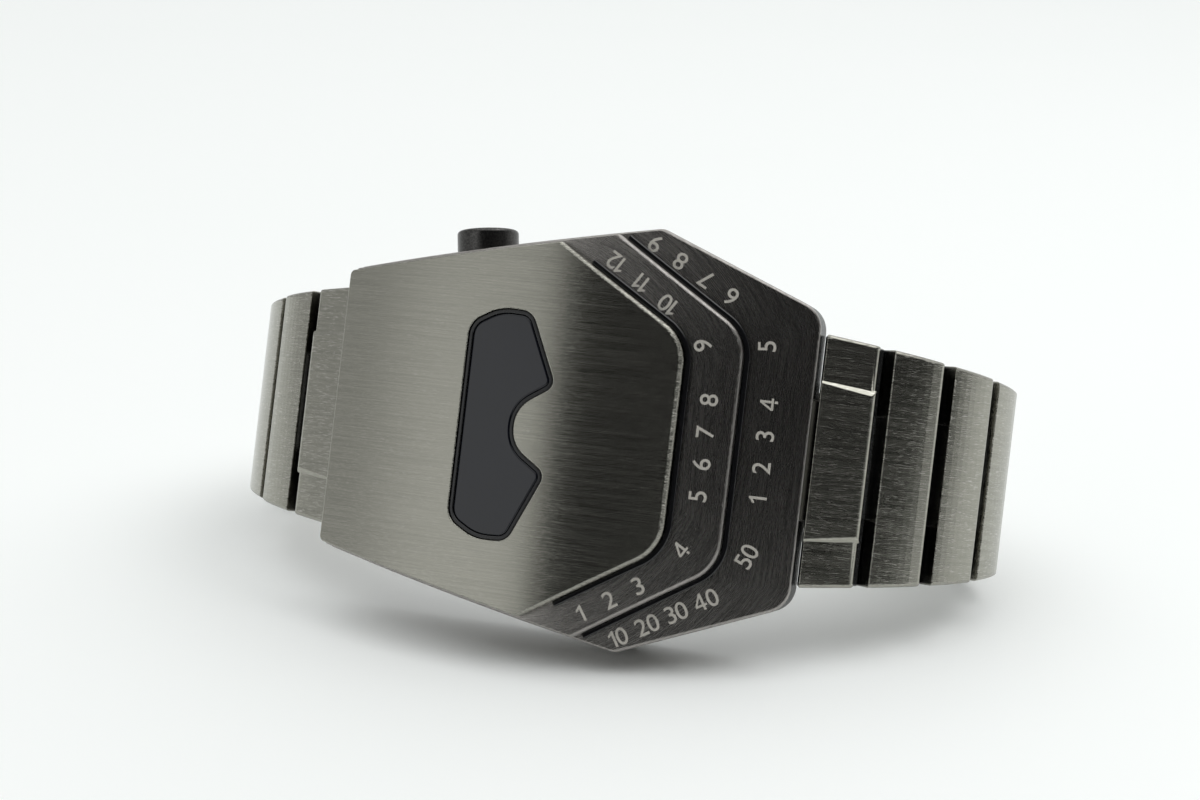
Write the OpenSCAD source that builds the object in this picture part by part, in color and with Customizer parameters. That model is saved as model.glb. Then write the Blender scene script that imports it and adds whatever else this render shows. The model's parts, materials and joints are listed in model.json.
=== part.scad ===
// Digital wristwatch with a stepped front, on a bracelet of hinged steel links.
// In the watch's own frame X runs from 12 o'clock to 6 o'clock with 0 at the middle of the
// case, Y runs from the front into the loop, and Z runs along the hinge pins to the pusher.
// lying() leans that frame back onto the three edges that the watch lies on.

/* [Case] */
// Length of the case between its flat ends
case_length = 49.6; // [46:0.1:56]
// Width of the case across its shoulders
case_width = 42.7; // [40:0.1:48]
// Width of the flat ends, corners squared
end_width = 29.7; // [28.5:0.1:33]
// Distance of the shoulders from the middle of the case
shoulder_x = 8.6; // [6:0.1:11]
// Depth from the crown of the front to the seat of the back
case_depth = 10.7; // [10.6:0.1:13]
// Radius of the curved front
front_radius = 73; // [65:1:110]
// Corner radius at the 12 o'clock end
end_radius = 0.6; // [0.4:0.1:2]
// Corner radius at the shoulders
shoulder_radius = 1.5; // [0.5:0.1:3]
// Corner radius at the 6 o'clock end
snout_radius = 2.8; // [1.5:0.1:4]
// Length of the module cavity
cavity_length = 34; // [32:0.1:35]
// Width of the module cavity
cavity_width = 27; // [26:0.1:28]
// Corner radius of the module cavity
cavity_radius = 2; // [1:0.1:3]
// Metal left between the minute step and the cavity
ceiling_thickness = 1.4; // [1:0.1:1.6]

/* [Cover] */
// Thickness of the raised cover
cover_thickness = 1.3; // [1.1:0.05:1.5]
// Distance of the cover's sides inside the case's sides
cover_inset = 0.65; // [0.4:0.05:1]
// Place where the cover's slanted edges start
cover_slant_x = -0.9; // [-2:0.1:0.5]
// Place of the cover's flat nose
cover_nose_x = 12.55; // [11.5:0.05:13]
// Width of the cover's nose, corners squared
cover_nose_width = 20.9; // [19:0.1:22]
// Corner radius of the cover's nose
cover_nose_radius = 4.6; // [3:0.1:5.5]

/* [Hour step] */
// Thickness of the hour step's plate
hour_thickness = 1.3; // [1.1:0.05:1.5]
// Distance of the hour step's sides inside the case's sides
hour_inset = 0.3; // [0.2:0.05:0.35]
// Place where the hour step's slanted edges start
hour_slant_x = 4.5; // [3.5:0.1:5.5]
// Place of the hour step's flat nose
hour_nose_x = 17.9; // [17:0.1:18.5]
// Width of the hour step's nose, corners squared
hour_nose_width = 23.3; // [22.5:0.1:24.5]
// Corner radius of the hour step's nose
hour_nose_radius = 4.5; // [3:0.1:5.5]
// Width of the light strips at the foot of each step
strip_width = 0.6; // [0.5:0.05:0.8]
// Height of the light strips
strip_height = 0.45; // [0.3:0.05:0.7]
// Place where the hour strip's ends are cut
hour_strip_start = 2.3; // [1:0.1:4]
// Place where the minute strip's ends are cut
minute_strip_start = 7.6; // [6:0.1:9]

/* [Window] */
// Place of the window's flat side towards 12 o'clock
window_back_x = -9.8; // [-10.5:0.1:-9]
// Half width of the window's flat side
window_back_z = 10; // [9.5:0.1:10.6]
// Half width of the window at its widest
window_end_z = 11.55; // [11.3:0.05:12.2]
// Place of the two lobes of the window
window_lobe_x = 0.15; // [0:0.05:0.6]
// Distance of the lobes from the middle line
window_lobe_z = 4.4; // [4.2:0.1:5]
// Place of the notch between the lobes
window_notch_x = -3.75; // [-4.5:0.05:-3.5]
// Width of the black gasket around the lens
gasket_width = 0.45; // [0.3:0.05:0.6]
// Depth of the lens below the cover's face
lens_drop = 0.3; // [0.15:0.05:0.45]

/* [Pusher] */
// Diameter of the pusher
pusher_d = 6.4; // [5.4:0.1:6.4]
// Height of the pusher above the case's side
pusher_height = 2.3; // [1.8:0.1:3]
// Travel of the pusher
pusher_travel = 0.8; // [0.5:0.05:1]
// Place of the pusher along the case
pusher_x = -10.8; // [-12:0.01:-10]
// Depth of the pusher's axis behind the crown of the front
pusher_y = 7; // [6.95:0.05:7.1]
// Lean of the pusher's axis towards 12 o'clock
pusher_lean = 8; // [5:1:11]

/* [Bracelet] */
// Distance between the hinge pins of a link
link_pitch = 7.45; // [7.2:0.05:8]
// Distance between the two hinges of an end link
end_link_pitch = 6.35; // [6.2:0.05:7]
// Half width of the bracelet at the case
bracelet_half = 12.95; // [11.5:0.05:13.4]
// Half width of the bracelet at the clasp
clasp_half = 9; // [8.6:0.1:10]
// Loss of half width per millimetre of bracelet
link_taper = 0.1; // [0.05:0.005:0.12]
// Height of a link's outer face above its pins
link_outer = 1.9; // [1.7:0.05:2.1]
// Depth of a link's inner face below its pins
link_inner = 1.3; // [1.25:0.05:1.5]
// Crown of a link's outer face
link_crown = 0.2; // [0.1:0.05:0.3]
// Gap between a link's round end and the next link
link_gap = 0.15; // [0.1:0.01:0.2]
// Length of a link past its far hinge pin
nose_reach = 0.9; // [0.8:0.05:1]
// Rounding of a link's far edge
nose_round = 1; // [0.6:0.05:1]
// Width of the hinge tongues
tongue_width = 10.4; // [7:0.1:11]
// Radius of the hinge tongues
tongue_radius = 1.1; // [1:0.05:1.2]
// Diameter of the hinge pins
pin_d = 1; // [0.8:0.05:1.1]
// Depth of the end links' hinges behind the crown of the front
hinge_y = 9; // [8.9:0.05:9.2]
// Distance of the end links' hinges inside the case's ends
hinge_inset = 1.45; // [1.4:0.05:1.7]
// Width of the end links' tongues
end_tongue_width = 12; // [10:0.1:13]
// Diameter of the spring bars
bar_d = 1.5; // [1.3:0.05:1.6]
// Height of the raised panel on the end links
panel_height = 0.35; // [0.2:0.05:0.5]
// Half width of the raised panel at the case
panel_half = 8.1; // [7:0.1:9]

/* [Clasp] */
// Bow of the clasp between its end pivots
clasp_bow = 2.2; // [1.6:0.1:3]
// Thickness of the clasp's blades and cover
blade_thickness = 0.8; // [0.6:0.05:0.9]
// Half width of the folding blades
blade_half = 6.8; // [6:0.1:7]
// Half width of the clasp's cover
cover_half = 8; // [7.8:0.1:8.3]
// Distance of the folding hinges from the end pivots
fold_inset = 7.8; // [7:0.1:9]

/* [Hidden] */

$fn = 48;
// Facets of the large front and clasp curves
curve_fn = 360;
// Largest step of a rounded corner, in degrees
arc_step = 9;
// More than the width of anything that is cut across
wide = 60;
// Small gap between parts that seat on each other
seat_gap = 0.02;
// Radial gap round a pin in the piece that holds it
held_gap = 0.02;
// Radial gap round a pin in the piece that turns on it
running_gap = 0.04;
// Side gap of a tongue in its notch
side_gap = 0.15;

// Angle of each link below the case's plane, from the case round to the clasp
link_tilts = [24, 39, 54, 75, 107, 137, 162];
link_count = len(link_tilts);

steel = [0.36, 0.35, 0.34];
dark_steel = [0.26, 0.255, 0.25];
bare_steel = [0.55, 0.54, 0.52];
rubber = [0.05, 0.05, 0.05];

// Depths of the steps behind the front's own surface
hour_depth = cover_thickness;
minute_depth = cover_thickness + hour_thickness;
ceiling_depth = minute_depth + ceiling_thickness;

half_length = case_length / 2;
hinge_x = half_length - hinge_inset;

// Distance behind the crown of the front, at x, of the surface that lies depth inside it
function front_y(x, depth) = front_radius - sqrt(pow(front_radius - depth, 2) - x * x);

function unit(v) = v / norm(v);

// Half width of the case's side between its 12 o'clock end and its shoulder
function side_z(x) = end_width / 2
    + (case_width - end_width) / 2 * (x + half_length) / (shoulder_x + half_length);

// Half width of the case between its shoulder and its 6 o'clock end
function slant_z(x) = end_width / 2
    + (case_width - end_width) / 2 * (half_length - x) / (half_length - shoulder_x);

// Centre of the circle of radius r in the corner b between a and c
function corner_centre(a, b, c, r) =
    let (u = unit(a - b), v = unit(c - b), bisector = unit(u + v))
    b + bisector * r / sqrt((1 - u * v) / 2);

// Points of the rounded corner b = [x, z, radius] between a and c
function corner_arc(a, b, c) =
    let (p = [b[0], b[1]], pa = [a[0], a[1]], pc = [c[0], c[1]], r = b[2],
        o = corner_centre(pa, p, pc, r),
        from = p + unit(pa - p) * ((o - p) * unit(pa - p)) - o,
        to = p + unit(pc - p) * ((o - p) * unit(pc - p)) - o,
        start = atan2(from[1], from[0]), half = 180,
        turn = (atan2(to[1], to[0]) - start + 3 * half) % (2 * half) - half,
        steps = max(2, ceil(abs(turn) / arc_step)))
    [for (k = [0:steps]) o + r * [cos(start + turn * k / steps), sin(start + turn * k / steps)]];

// Outline through [x, z, radius] corners that go round clockwise
function rounded(corners) =
    let (n = len(corners))
    [for (i = [0:n - 1]) each corner_arc(corners[(i + n - 1) % n], corners[i], corners[(i + 1) % n])];

// The corners moved inwards by d, or outwards where d is negative
function inset(corners, d) =
    let (n = len(corners))
    [for (i = [0:n - 1])
        let (a = corners[(i + n - 1) % n], b = corners[i], c = corners[(i + 1) % n],
            e = unit([b[0] - a[0], b[1] - a[1]]), f = unit([c[0] - b[0], c[1] - b[1]]),
            ne = [e[1], -e[0]], nf = [f[1], -f[0]],
            p = [b[0], b[1]] + d * (ne + nf) / (1 + ne * nf),
            bend = cross(e, f) < 0 ? 1 : -1)
        [p[0], p[1], max(0.05, b[2] - bend * d)]];

// Corners above the middle line joined to their mirror image below it
function both_sides(upper) =
    concat(upper, [for (i = [len(upper) - 1:-1:0]) [upper[i][0], -upper[i][1], upper[i][2]]]);

function box_corners(length, width, r) =
    both_sides([[-length / 2, width / 2, r], [length / 2, width / 2, r]]);

case_corners = both_sides([[-half_length, end_width / 2, end_radius],
    [shoulder_x, case_width / 2, shoulder_radius],
    [half_length, end_width / 2, snout_radius]]);

hour_corners = both_sides([[-half_length + seat_gap, side_z(-half_length) - hour_inset, end_radius],
    [hour_slant_x, side_z(hour_slant_x) - hour_inset, 0.6],
    [hour_nose_x, hour_nose_width / 2, hour_nose_radius]]);

cover_corners = both_sides([[-half_length + seat_gap, side_z(-half_length) - cover_inset, end_radius],
    [cover_slant_x, side_z(cover_slant_x) - cover_inset, 0.6],
    [cover_nose_x, cover_nose_width / 2, cover_nose_radius]]);

window_middle_x = (window_back_x + window_lobe_x) / 2;
window_corners = both_sides([[window_back_x, window_back_z, 2.2],
    [window_middle_x - 1.8, window_end_z + 0.2, 5],
    [window_middle_x + 1.7, window_end_z + 0.05, 1.8],
    [window_lobe_x, window_lobe_z, 1.2],
    [window_notch_x, window_lobe_z - 2.55, 3.2]]);
lens_corners = inset(window_corners, gasket_width);

// The lens rests on this much of the hour step's plate
lens_ledge = 0.7;
light_corners = inset(lens_corners, lens_ledge);

// Half width of the bracelet at a distance s from the case's hinge
function half_at(s) = max(clasp_half, bracelet_half - link_taper * s);

function pitch_of(i) = i == 0 ? end_link_pitch : link_pitch;

// Distance along the bracelet of the pin at the case's end of link i
function reach_of(i) = i == 0 ? 0 : end_link_pitch + (i - 1) * link_pitch;

// Place of the pin at the case's end of link i, on the 6 o'clock side
function pin_at(i) = i == 0 ? [hinge_x, hinge_y]
    : pin_at(i - 1) + pitch_of(i - 1) * [cos(link_tilts[i - 1]), sin(link_tilts[i - 1])];

clasp_pin = pin_at(link_count);
// The clasp's pivots lie on a circle round clasp_centre
clasp_radius = (pow(clasp_pin[0], 2) + pow(clasp_bow, 2)) / (2 * clasp_bow);
clasp_centre = [0, clasp_pin[1] + clasp_bow - clasp_radius];
clasp_angle = asin(clasp_pin[0] / clasp_radius);
degrees_per_mm = 180 / PI / clasp_radius;
clasp_reach = clasp_angle / degrees_per_mm;

// Angle by which the watch leans back until its clasp end touches what it lies on
last_normal = [sin(link_tilts[link_count - 1]), -cos(link_tilts[link_count - 1])];
back_edge_y = clasp_pin[1] + link_outer * last_normal[1];
lean = atan((case_width / 2 - clasp_half) / (back_edge_y - case_depth));
lift = case_depth * sin(lean) + case_width / 2 * cos(lean);
// Front and rear limits of the leaning watch, which centre it on the origin
front_limit = -side_z(cover_slant_x) * sin(lean) + cover_inset * sin(lean);
rear_limit = (clasp_centre[1] + clasp_radius + link_outer) * cos(lean) + cover_half * sin(lean);

module lying() {
    translate([0, -(front_limit + rear_limit) / 2, lift]) rotate([-lean, 0, 0]) children();
}

// A plate of the outline in X and Z, from depth y0 to depth y1
module plate(corners, y0, y1) {
    translate([0, y1, 0]) rotate([90, 0, 0]) linear_extrude(y1 - y0) polygon(rounded(corners));
}

// Everything behind the front's surface moved back by depth
module behind_front(depth) {
    translate([0, front_radius, 0])
        cylinder(r = front_radius - depth, h = wide, center = true, $fn = curve_fn);
}

// A curved plate that follows the front, between two depths behind its surface
module curved_plate(corners, depth0, depth1) {
    difference() {
        intersection() {
            plate(corners, -1, case_depth);
            behind_front(depth0);
        }
        behind_front(depth1);
    }
}

// Cover screws
cover_screw_d = 1;
cover_screw_head_d = 1.9;
cover_screw_head = 0.5;
cover_screw_grip = 0.8;
// Distances of the screws from the window and from the cavity's side walls
cover_screw_back_gap = 3.6;
cover_screw_lobe_gap = 5.45;
cover_screw_wall_gap = 2.3;
cover_screw_z = cavity_width / 2 - cover_screw_wall_gap;
cover_screw_places = [for (x = [window_back_x - cover_screw_back_gap, window_lobe_x + cover_screw_lobe_gap],
        z = [-cover_screw_z, cover_screw_z]) [x, z]];
// Width of the slot in a screw's head
cover_slot = 0.3;
back_slot = 0.4;

function cover_screw_seat(x) = front_y(x, ceiling_depth) + 0.25;
function cover_screw_tip(x) = front_y(x, cover_thickness) - cover_screw_grip;

module cover_screw_holes(gap) {
    for (p = cover_screw_places)
        translate([p[0], cover_screw_tip(p[0]) - 0.05, p[1]]) rotate([-90, 0, 0])
            cylinder(d = cover_screw_d + 2 * gap, h = ceiling_depth);
}

module cover_screw_seats() {
    for (p = cover_screw_places)
        translate([p[0], cover_screw_seat(p[0]), p[1]]) rotate([-90, 0, 0])
            cylinder(d = cover_screw_head_d + 0.2, h = 3);
}

// Screws of the back
back_thickness = 1.4;
back_inset = 1.9;
back_end_x = hinge_x - 2.1;
back_screw_d = 1.2;
back_screw_head_d = 2;
back_screw_x = back_end_x - 1.35;
back_screw_z = 9.4;
back_screw_depth = 3;
back_head = 0.7;
back_screw_places = [for (x = [-1, 1], z = [-1, 1]) [x * back_screw_x, z * back_screw_z]];
back_corners = both_sides([[-back_end_x, side_z(-back_end_x) - back_inset, 1.5],
    [shoulder_x, case_width / 2 - back_inset, 3],
    [back_end_x, slant_z(back_end_x) - back_inset, 1.5]]);

// Gasket of the back, in a groove round the cavity
groove_offset = 0.5;
groove_width = 0.8;
groove_depth = 0.5;

module cavity_ring(offset, width, y0, y1) {
    difference() {
        plate(box_corners(cavity_length + 2 * (offset + width), cavity_width + 2 * (offset + width),
            cavity_radius + offset + width), y0, y1);
        plate(box_corners(cavity_length + 2 * offset, cavity_width + 2 * offset,
            cavity_radius + offset), y0 - 1, y1 + 1);
    }
}

// Lights under the strips
led_length = 0.9;
led_width = 0.4;
led_height = 0.35;
led_pitch = 3.2;

// Places [x, z, angle] of the lights along a nose: slants, corners and flat
function light_places(corners, slant_lights) =
    let (a = [corners[1][0], corners[1][1]], b = [corners[2][0], corners[2][1]],
        c = [corners[3][0], corners[3][1]], r = corners[2][2], grow = strip_width / 2,
        o = corner_centre(a, b, c, r),
        along = unit(a - b), normal = [-along[1], along[0]],
        bend = unit(b - o),
        upper = concat([for (i = [0:slant_lights - 1])
                let (p = b + along * (4.6 + i * led_pitch) - normal * grow)
                [p[0], p[1], atan2(along[1], along[0])]],
            [[(o + (r + grow) * bend)[0], (o + (r + grow) * bend)[1], atan2(bend[1], bend[0]) + 90]]))
    concat(upper, [for (p = upper) [p[0], -p[1], -p[2]]],
        [for (i = [-1.5:1:1.5]) [b[0] + grow, i * led_pitch, 90]]);

// A block at every light, from the step's surface back by depth, larger by gap all round
module light_blocks(places, surface, depth, gap) {
    for (p = places)
        translate([p[0], front_y(p[0], surface) + seat_gap - gap, p[1]]) rotate([0, -p[2], 0])
            translate([-led_length / 2 - gap, 0, -led_width / 2 - gap])
                cube([led_length + 2 * gap, depth + gap, led_width + 2 * gap]);
}

hour_places = light_places(cover_corners, 3);
minute_places = light_places(hour_corners, 4);
pocket_gap = 0.05;
pocket_depth = led_height + 0.15;

// Pusher, built along its own axis with 0 on the case's side
counterbore_depth = pusher_travel + 1.4;
skirt_depth = 0.9;
pusher_rim = 0.4;
cup_wall = 0.55;
cup_radius = pusher_d / 2 - cup_wall;
cup_ceiling = 0.9;
spring_gap = 0.35;
spring_radius = cup_radius - spring_gap;
spring_wire = 0.35;
stem_d = 1.6;
stem_neck = stem_d / 2 - 0.3;
tube_d = 2.6;
tube_outer_end = -1;
// The tube runs from the counterbore through the case's wall into the cavity
tube_reach = 0.42;
tube_wall = (side_z(pusher_x) - cavity_width / 2) / cos(pusher_lean);
tube_inner_end = -(tube_wall + tube_reach);
clip_thickness = 0.25;
clip_radius = 1.45;
clip_slot = 0.7;
stem_reach = 1.3;
stem_end = tube_inner_end - stem_reach;
stem_space = 2.2;
contact_gap = 0.05;
contact_size = 3;

module on_pusher_axis() {
    translate([pusher_x, pusher_y, side_z(pusher_x)]) rotate([0, -pusher_lean, 0]) children();
}

module rod(r, from, to) {
    translate([0, 0, from]) cylinder(r = r, h = to - from);
}

// Space in the module for the stem, up to the switch contact
module stem_room() {
    on_pusher_axis() rod(stem_space, stem_end - pusher_travel - 0.3, tube_inner_end + 1.5);
}

// Hinge notch of an end link in one end of the case
notch_gap = 0.25;
end_tongue_radius = bar_d / 2 + 0.55;
bar_tip_d = 0.8;
bar_tip = 1.5;

module case_notch() {
    reach = end_tongue_radius + notch_gap;
    half = end_tongue_width / 2 + side_gap;
    translate([hinge_x - reach, hinge_y - reach, -half])
        cube([reach + hinge_inset + 1, case_depth, 2 * half]);
    translate([hinge_x, hinge_y, 0])
        cylinder(d = bar_tip_d + 2 * running_gap, h = 2 * (half + bar_tip + 0.1), center = true);
}

module both_ends() {
    children();
    mirror([1, 0, 0]) children();
}

module case_body() {
    color(steel) lying() difference() {
        intersection() {
            plate(case_corners, -1, case_depth);
            behind_front(minute_depth);
        }
        intersection() {
            plate(box_corners(cavity_length, cavity_width, cavity_radius), 0, case_depth + 1);
            behind_front(ceiling_depth);
        }
        plate(light_corners, -1, case_depth);
        cover_screw_holes(running_gap);
        cover_screw_seats();
        light_blocks(minute_places, minute_depth, pocket_depth, pocket_gap);
        cavity_ring(groove_offset, groove_width, case_depth - groove_depth, case_depth + 1);
        for (p = back_screw_places)
            translate([p[0], case_depth - back_screw_depth, p[1]]) rotate([-90, 0, 0])
                cylinder(d = back_screw_d + 2 * held_gap, h = wide);
        both_ends() case_notch();
        on_pusher_axis() {
            rod(pusher_d / 2 + 0.1, -counterbore_depth, pusher_height + 2);
            rod(tube_d / 2 + held_gap, tube_inner_end - 3, 0);
        }
    }
}

module hour_tier() {
    color(steel) lying() difference() {
        curved_plate(hour_corners, hour_depth, minute_depth - seat_gap);
        plate(light_corners, -1, case_depth);
        cover_screw_holes(running_gap);
        light_blocks(hour_places, hour_depth, pocket_depth, pocket_gap);
    }
}

module top_cover() {
    color(steel) lying() difference() {
        curved_plate(cover_corners, 0, hour_depth - seat_gap);
        plate(window_corners, -2, case_depth);
        cover_screw_holes(held_gap);
    }
}

module display_lens() {
    color([0.17, 0.18, 0.2]) lying()
        curved_plate(inset(lens_corners, seat_gap), lens_drop, hour_depth - seat_gap);
}

module lens_gasket() {
    color(rubber) lying() difference() {
        curved_plate(inset(window_corners, seat_gap), lens_drop - 0.1, hour_depth - seat_gap);
        plate(lens_corners, -2, case_depth);
    }
}

// A strip along the foot of a step, on the surface at depth, from x = start onwards
module light_strip(corners, depth, start) {
    intersection() {
        difference() {
            curved_plate(inset(corners, -strip_width - seat_gap), depth - strip_height, depth - seat_gap);
            plate(inset(corners, -seat_gap), -2, case_depth);
        }
        translate([start, -1, -wide / 2]) cube([wide, case_depth, wide]);
    }
}

module hour_light_strip() {
    color([0.12, 0.12, 0.13]) lying() light_strip(cover_corners, hour_depth, hour_strip_start);
}

module minute_light_strip() {
    color([0.12, 0.12, 0.13]) lying() light_strip(hour_corners, minute_depth, minute_strip_start);
}

module hour_leds() {
    color([0.9, 0.88, 0.8]) lying() light_blocks(hour_places, hour_depth, led_height, 0);
}

module minute_leds() {
    color([0.9, 0.88, 0.8]) lying() light_blocks(minute_places, minute_depth, led_height, 0);
}

// Module inside the case
ceiling_gap = 0.17;
board_thickness = 0.8;
module_gap = 0.15;
module_corners = box_corners(cavity_length - 2 * module_gap, cavity_width - 2 * module_gap,
    cavity_radius - module_gap);
// The board clears the cavity's ceiling, which is deepest at the ends of the cavity
board_y = front_y(cavity_length / 2, ceiling_depth) + ceiling_gap;
frame_front = board_y + board_thickness;
cell_d = 11.6;
cell_gap = 0.2;
cell_front = frame_front + cell_gap;
// The cells take the room that is left in front of their clip
clip_room = 0.35;
cell_height = case_depth - clip_room - cell_front;
cell_x = 8;
cell_z = cell_d / 2 + 0.5;
chip_x = -5;
chip_size = 5;
chip_height = 1;
crystal_x = -13.5;
crystal_d = 2;
crystal_length = 6;
clip_sheet = 0.2;
clip_width = 5;
clip_overlap = 3;
clip_length = 2 * (cell_z + clip_overlap);
clip_front = cell_front + cell_height + seat_gap;

module display_module() {
    top = front_y(window_back_x, hour_depth) + 0.15;
    room = inset(light_corners, 0.2);
    color([0.1, 0.1, 0.11]) lying() intersection() {
        plate(room, top, board_y);
        translate([window_back_x + 1.6, 0, -wide / 2])
            cube([window_notch_x - window_back_x - 1.6, case_depth, wide]);
    }
}

module circuit_board() {
    color([0.1, 0.3, 0.16]) lying() difference() {
        plate(module_corners, board_y, frame_front);
        stem_room();
    }
}

module controller_chip() {
    color([0.06, 0.06, 0.06]) lying() translate([chip_x - chip_size / 2, frame_front, -chip_size / 2])
        cube([chip_size, chip_height, chip_size]);
}

module quartz_crystal() {
    color([0.75, 0.75, 0.76]) lying() translate([crystal_x, frame_front + crystal_d / 2 + seat_gap, 0])
        cylinder(d = crystal_d, h = crystal_length, center = true);
}

module module_frame() {
    color([0.12, 0.12, 0.13]) lying() difference() {
        plate(module_corners, frame_front, case_depth - 0.2);
        for (side = [-1, 1])
            translate([cell_x, 0, side * cell_z]) rotate([-90, 0, 0])
                cylinder(d = cell_d + 0.2, h = wide);
        translate([chip_x - chip_size / 2 - 0.5, 0, -chip_size / 2 - 0.5])
            cube([chip_size + 1, wide, chip_size + 1]);
        translate([crystal_x - crystal_d / 2 - 0.3, 0, -crystal_length / 2 - 0.3])
            cube([crystal_d + 0.6, wide, crystal_length + 0.6]);
        translate([cell_x - clip_width / 2 - 0.2, clip_front - 0.1, -clip_length / 2 - 0.2])
            cube([clip_width + 0.4, wide, clip_length + 0.4]);
        stem_room();
    }
}

module battery_cells() {
    color([0.72, 0.72, 0.7]) lying() for (side = [-1, 1])
        translate([cell_x, cell_front, side * cell_z]) rotate([-90, 0, 0])
            cylinder(d = cell_d, h = cell_height);
}

module battery_clip() {
    color([0.7, 0.62, 0.4]) lying()
        translate([cell_x - clip_width / 2, clip_front, -clip_length / 2])
            cube([clip_width, clip_sheet, clip_length]);
}

module button_contact() {
    tip = stem_end - pusher_travel - contact_gap;
    color([0.7, 0.62, 0.4]) lying() on_pusher_axis()
        translate([-contact_size / 2, -contact_size / 2, tip - clip_sheet])
            cube([contact_size, contact_size, clip_sheet]);
}

module cover_screws() {
    color(bare_steel) lying() for (p = cover_screw_places)
        translate([p[0], cover_screw_tip(p[0]), p[1]]) rotate([-90, 0, 0]) {
            cylinder(d = cover_screw_d, h = cover_screw_seat(p[0]) - cover_screw_tip(p[0]) + 0.1);
            translate([0, 0, cover_screw_seat(p[0]) - cover_screw_tip(p[0]) + seat_gap]) difference() {
                cylinder(d = cover_screw_head_d, h = cover_screw_head);
                translate([-cover_screw_head_d, -cover_slot / 2, cover_screw_head / 2])
                    cube([2 * cover_screw_head_d, cover_slot, cover_screw_head]);
            }
        }
}

module case_back() {
    color(bare_steel) lying() difference() {
        plate(back_corners, case_depth, case_depth + back_thickness);
        for (p = back_screw_places)
            translate([p[0], case_depth - 1, p[1]]) rotate([-90, 0, 0]) {
                cylinder(d = back_screw_d + 2 * running_gap, h = wide);
                translate([0, 0, 1 + back_thickness - back_head])
                    cylinder(d = back_screw_head_d + 0.2, h = wide);
            }
    }
}

module case_back_gasket() {
    color(rubber) lying()
        cavity_ring(groove_offset + seat_gap, groove_width - 2 * seat_gap,
            case_depth - groove_depth + seat_gap, case_depth - seat_gap);
}

module case_back_screws() {
    seat = case_depth + back_thickness - back_head;
    color(bare_steel) lying() for (p = back_screw_places)
        translate([p[0], case_depth - back_screw_depth + 0.2, p[1]]) rotate([-90, 0, 0]) {
            cylinder(d = back_screw_d, h = seat - case_depth + back_screw_depth);
            translate([0, 0, seat - case_depth + back_screw_depth - 0.2 + seat_gap]) difference() {
                cylinder(d = back_screw_head_d, h = back_head - 0.1);
                translate([-back_screw_head_d, -back_slot / 2, back_head / 2])
                    cube([2 * back_screw_head_d, back_slot, back_head]);
            }
        }
}

module pusher_tube() {
    color(bare_steel) lying() on_pusher_axis() difference() {
        rod(tube_d / 2, tube_inner_end, tube_outer_end);
        rod(stem_d / 2 + running_gap, tube_inner_end - 1, tube_outer_end + 1);
    }
}

module pusher_gasket() {
    color(rubber) lying() on_pusher_axis() difference() {
        rod(tube_d / 2 - 0.1, tube_outer_end + seat_gap, tube_outer_end + 0.5);
        rod(stem_d / 2 + running_gap, tube_outer_end - 1, tube_outer_end + 1);
    }
}

module pusher() {
    color(dark_steel) lying() on_pusher_axis() {
        difference() {
            union() {
                rod(pusher_d / 2, -skirt_depth, pusher_height - pusher_rim);
                rod(pusher_d / 2 - pusher_rim, 0, pusher_height);
                translate([0, 0, pusher_height - pusher_rim])
                    rotate_extrude() translate([pusher_d / 2 - pusher_rim, 0]) intersection() {
                        circle(r = pusher_rim);
                        translate([-pusher_rim / 2, 0]) square(2 * pusher_rim);
                    }
            }
            rod(cup_radius, -skirt_depth - 1, cup_ceiling);
        }
        difference() {
            rod(stem_d / 2, stem_end, cup_ceiling + 0.5);
            clip_groove(0);
        }
    }
}

// Groove of the retaining clip, just inside the tube's inner end
module clip_groove(gap) {
    translate([0, 0, tube_inner_end - seat_gap - clip_thickness - 0.05]) difference() {
        cylinder(r = 3, h = clip_thickness + 0.05);
        translate([0, 0, -1]) cylinder(r = stem_neck + gap, h = 3);
    }
}

module pusher_clip() {
    color(bare_steel) lying() on_pusher_axis()
        translate([0, 0, tube_inner_end - 2 * seat_gap - clip_thickness]) difference() {
            cylinder(r = clip_radius, h = clip_thickness);
            translate([0, 0, -1]) cylinder(r = stem_neck + held_gap, h = 3);
            translate([0, -clip_slot / 2, -1]) cube([3, clip_slot, 3]);
        }
}

module pusher_spring() {
    color(bare_steel) lying() on_pusher_axis() difference() {
        rod(spring_radius, -counterbore_depth + seat_gap, cup_ceiling - seat_gap);
        rod(spring_radius - spring_wire, -counterbore_depth - 1, cup_ceiling + 1);
    }
}

// Places a child in the frame of link i: X along the link, Y towards the wrist
module on_link(i) {
    translate([pin_at(i)[0], pin_at(i)[1], 0]) rotate([0, 0, link_tilts[i]]) children();
}

// The bracelet's 6 o'clock side, or its mirror image on the 12 o'clock side
module on_side(side) {
    if (side == 6) children();
    else mirror([1, 0, 0]) children();
}

// Depth below the pins at which a link's round lip closes the groove between two links
lip_top = 0.4;
// Closest that a link's body comes to its own pin
body_start = link_outer + link_gap;

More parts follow.
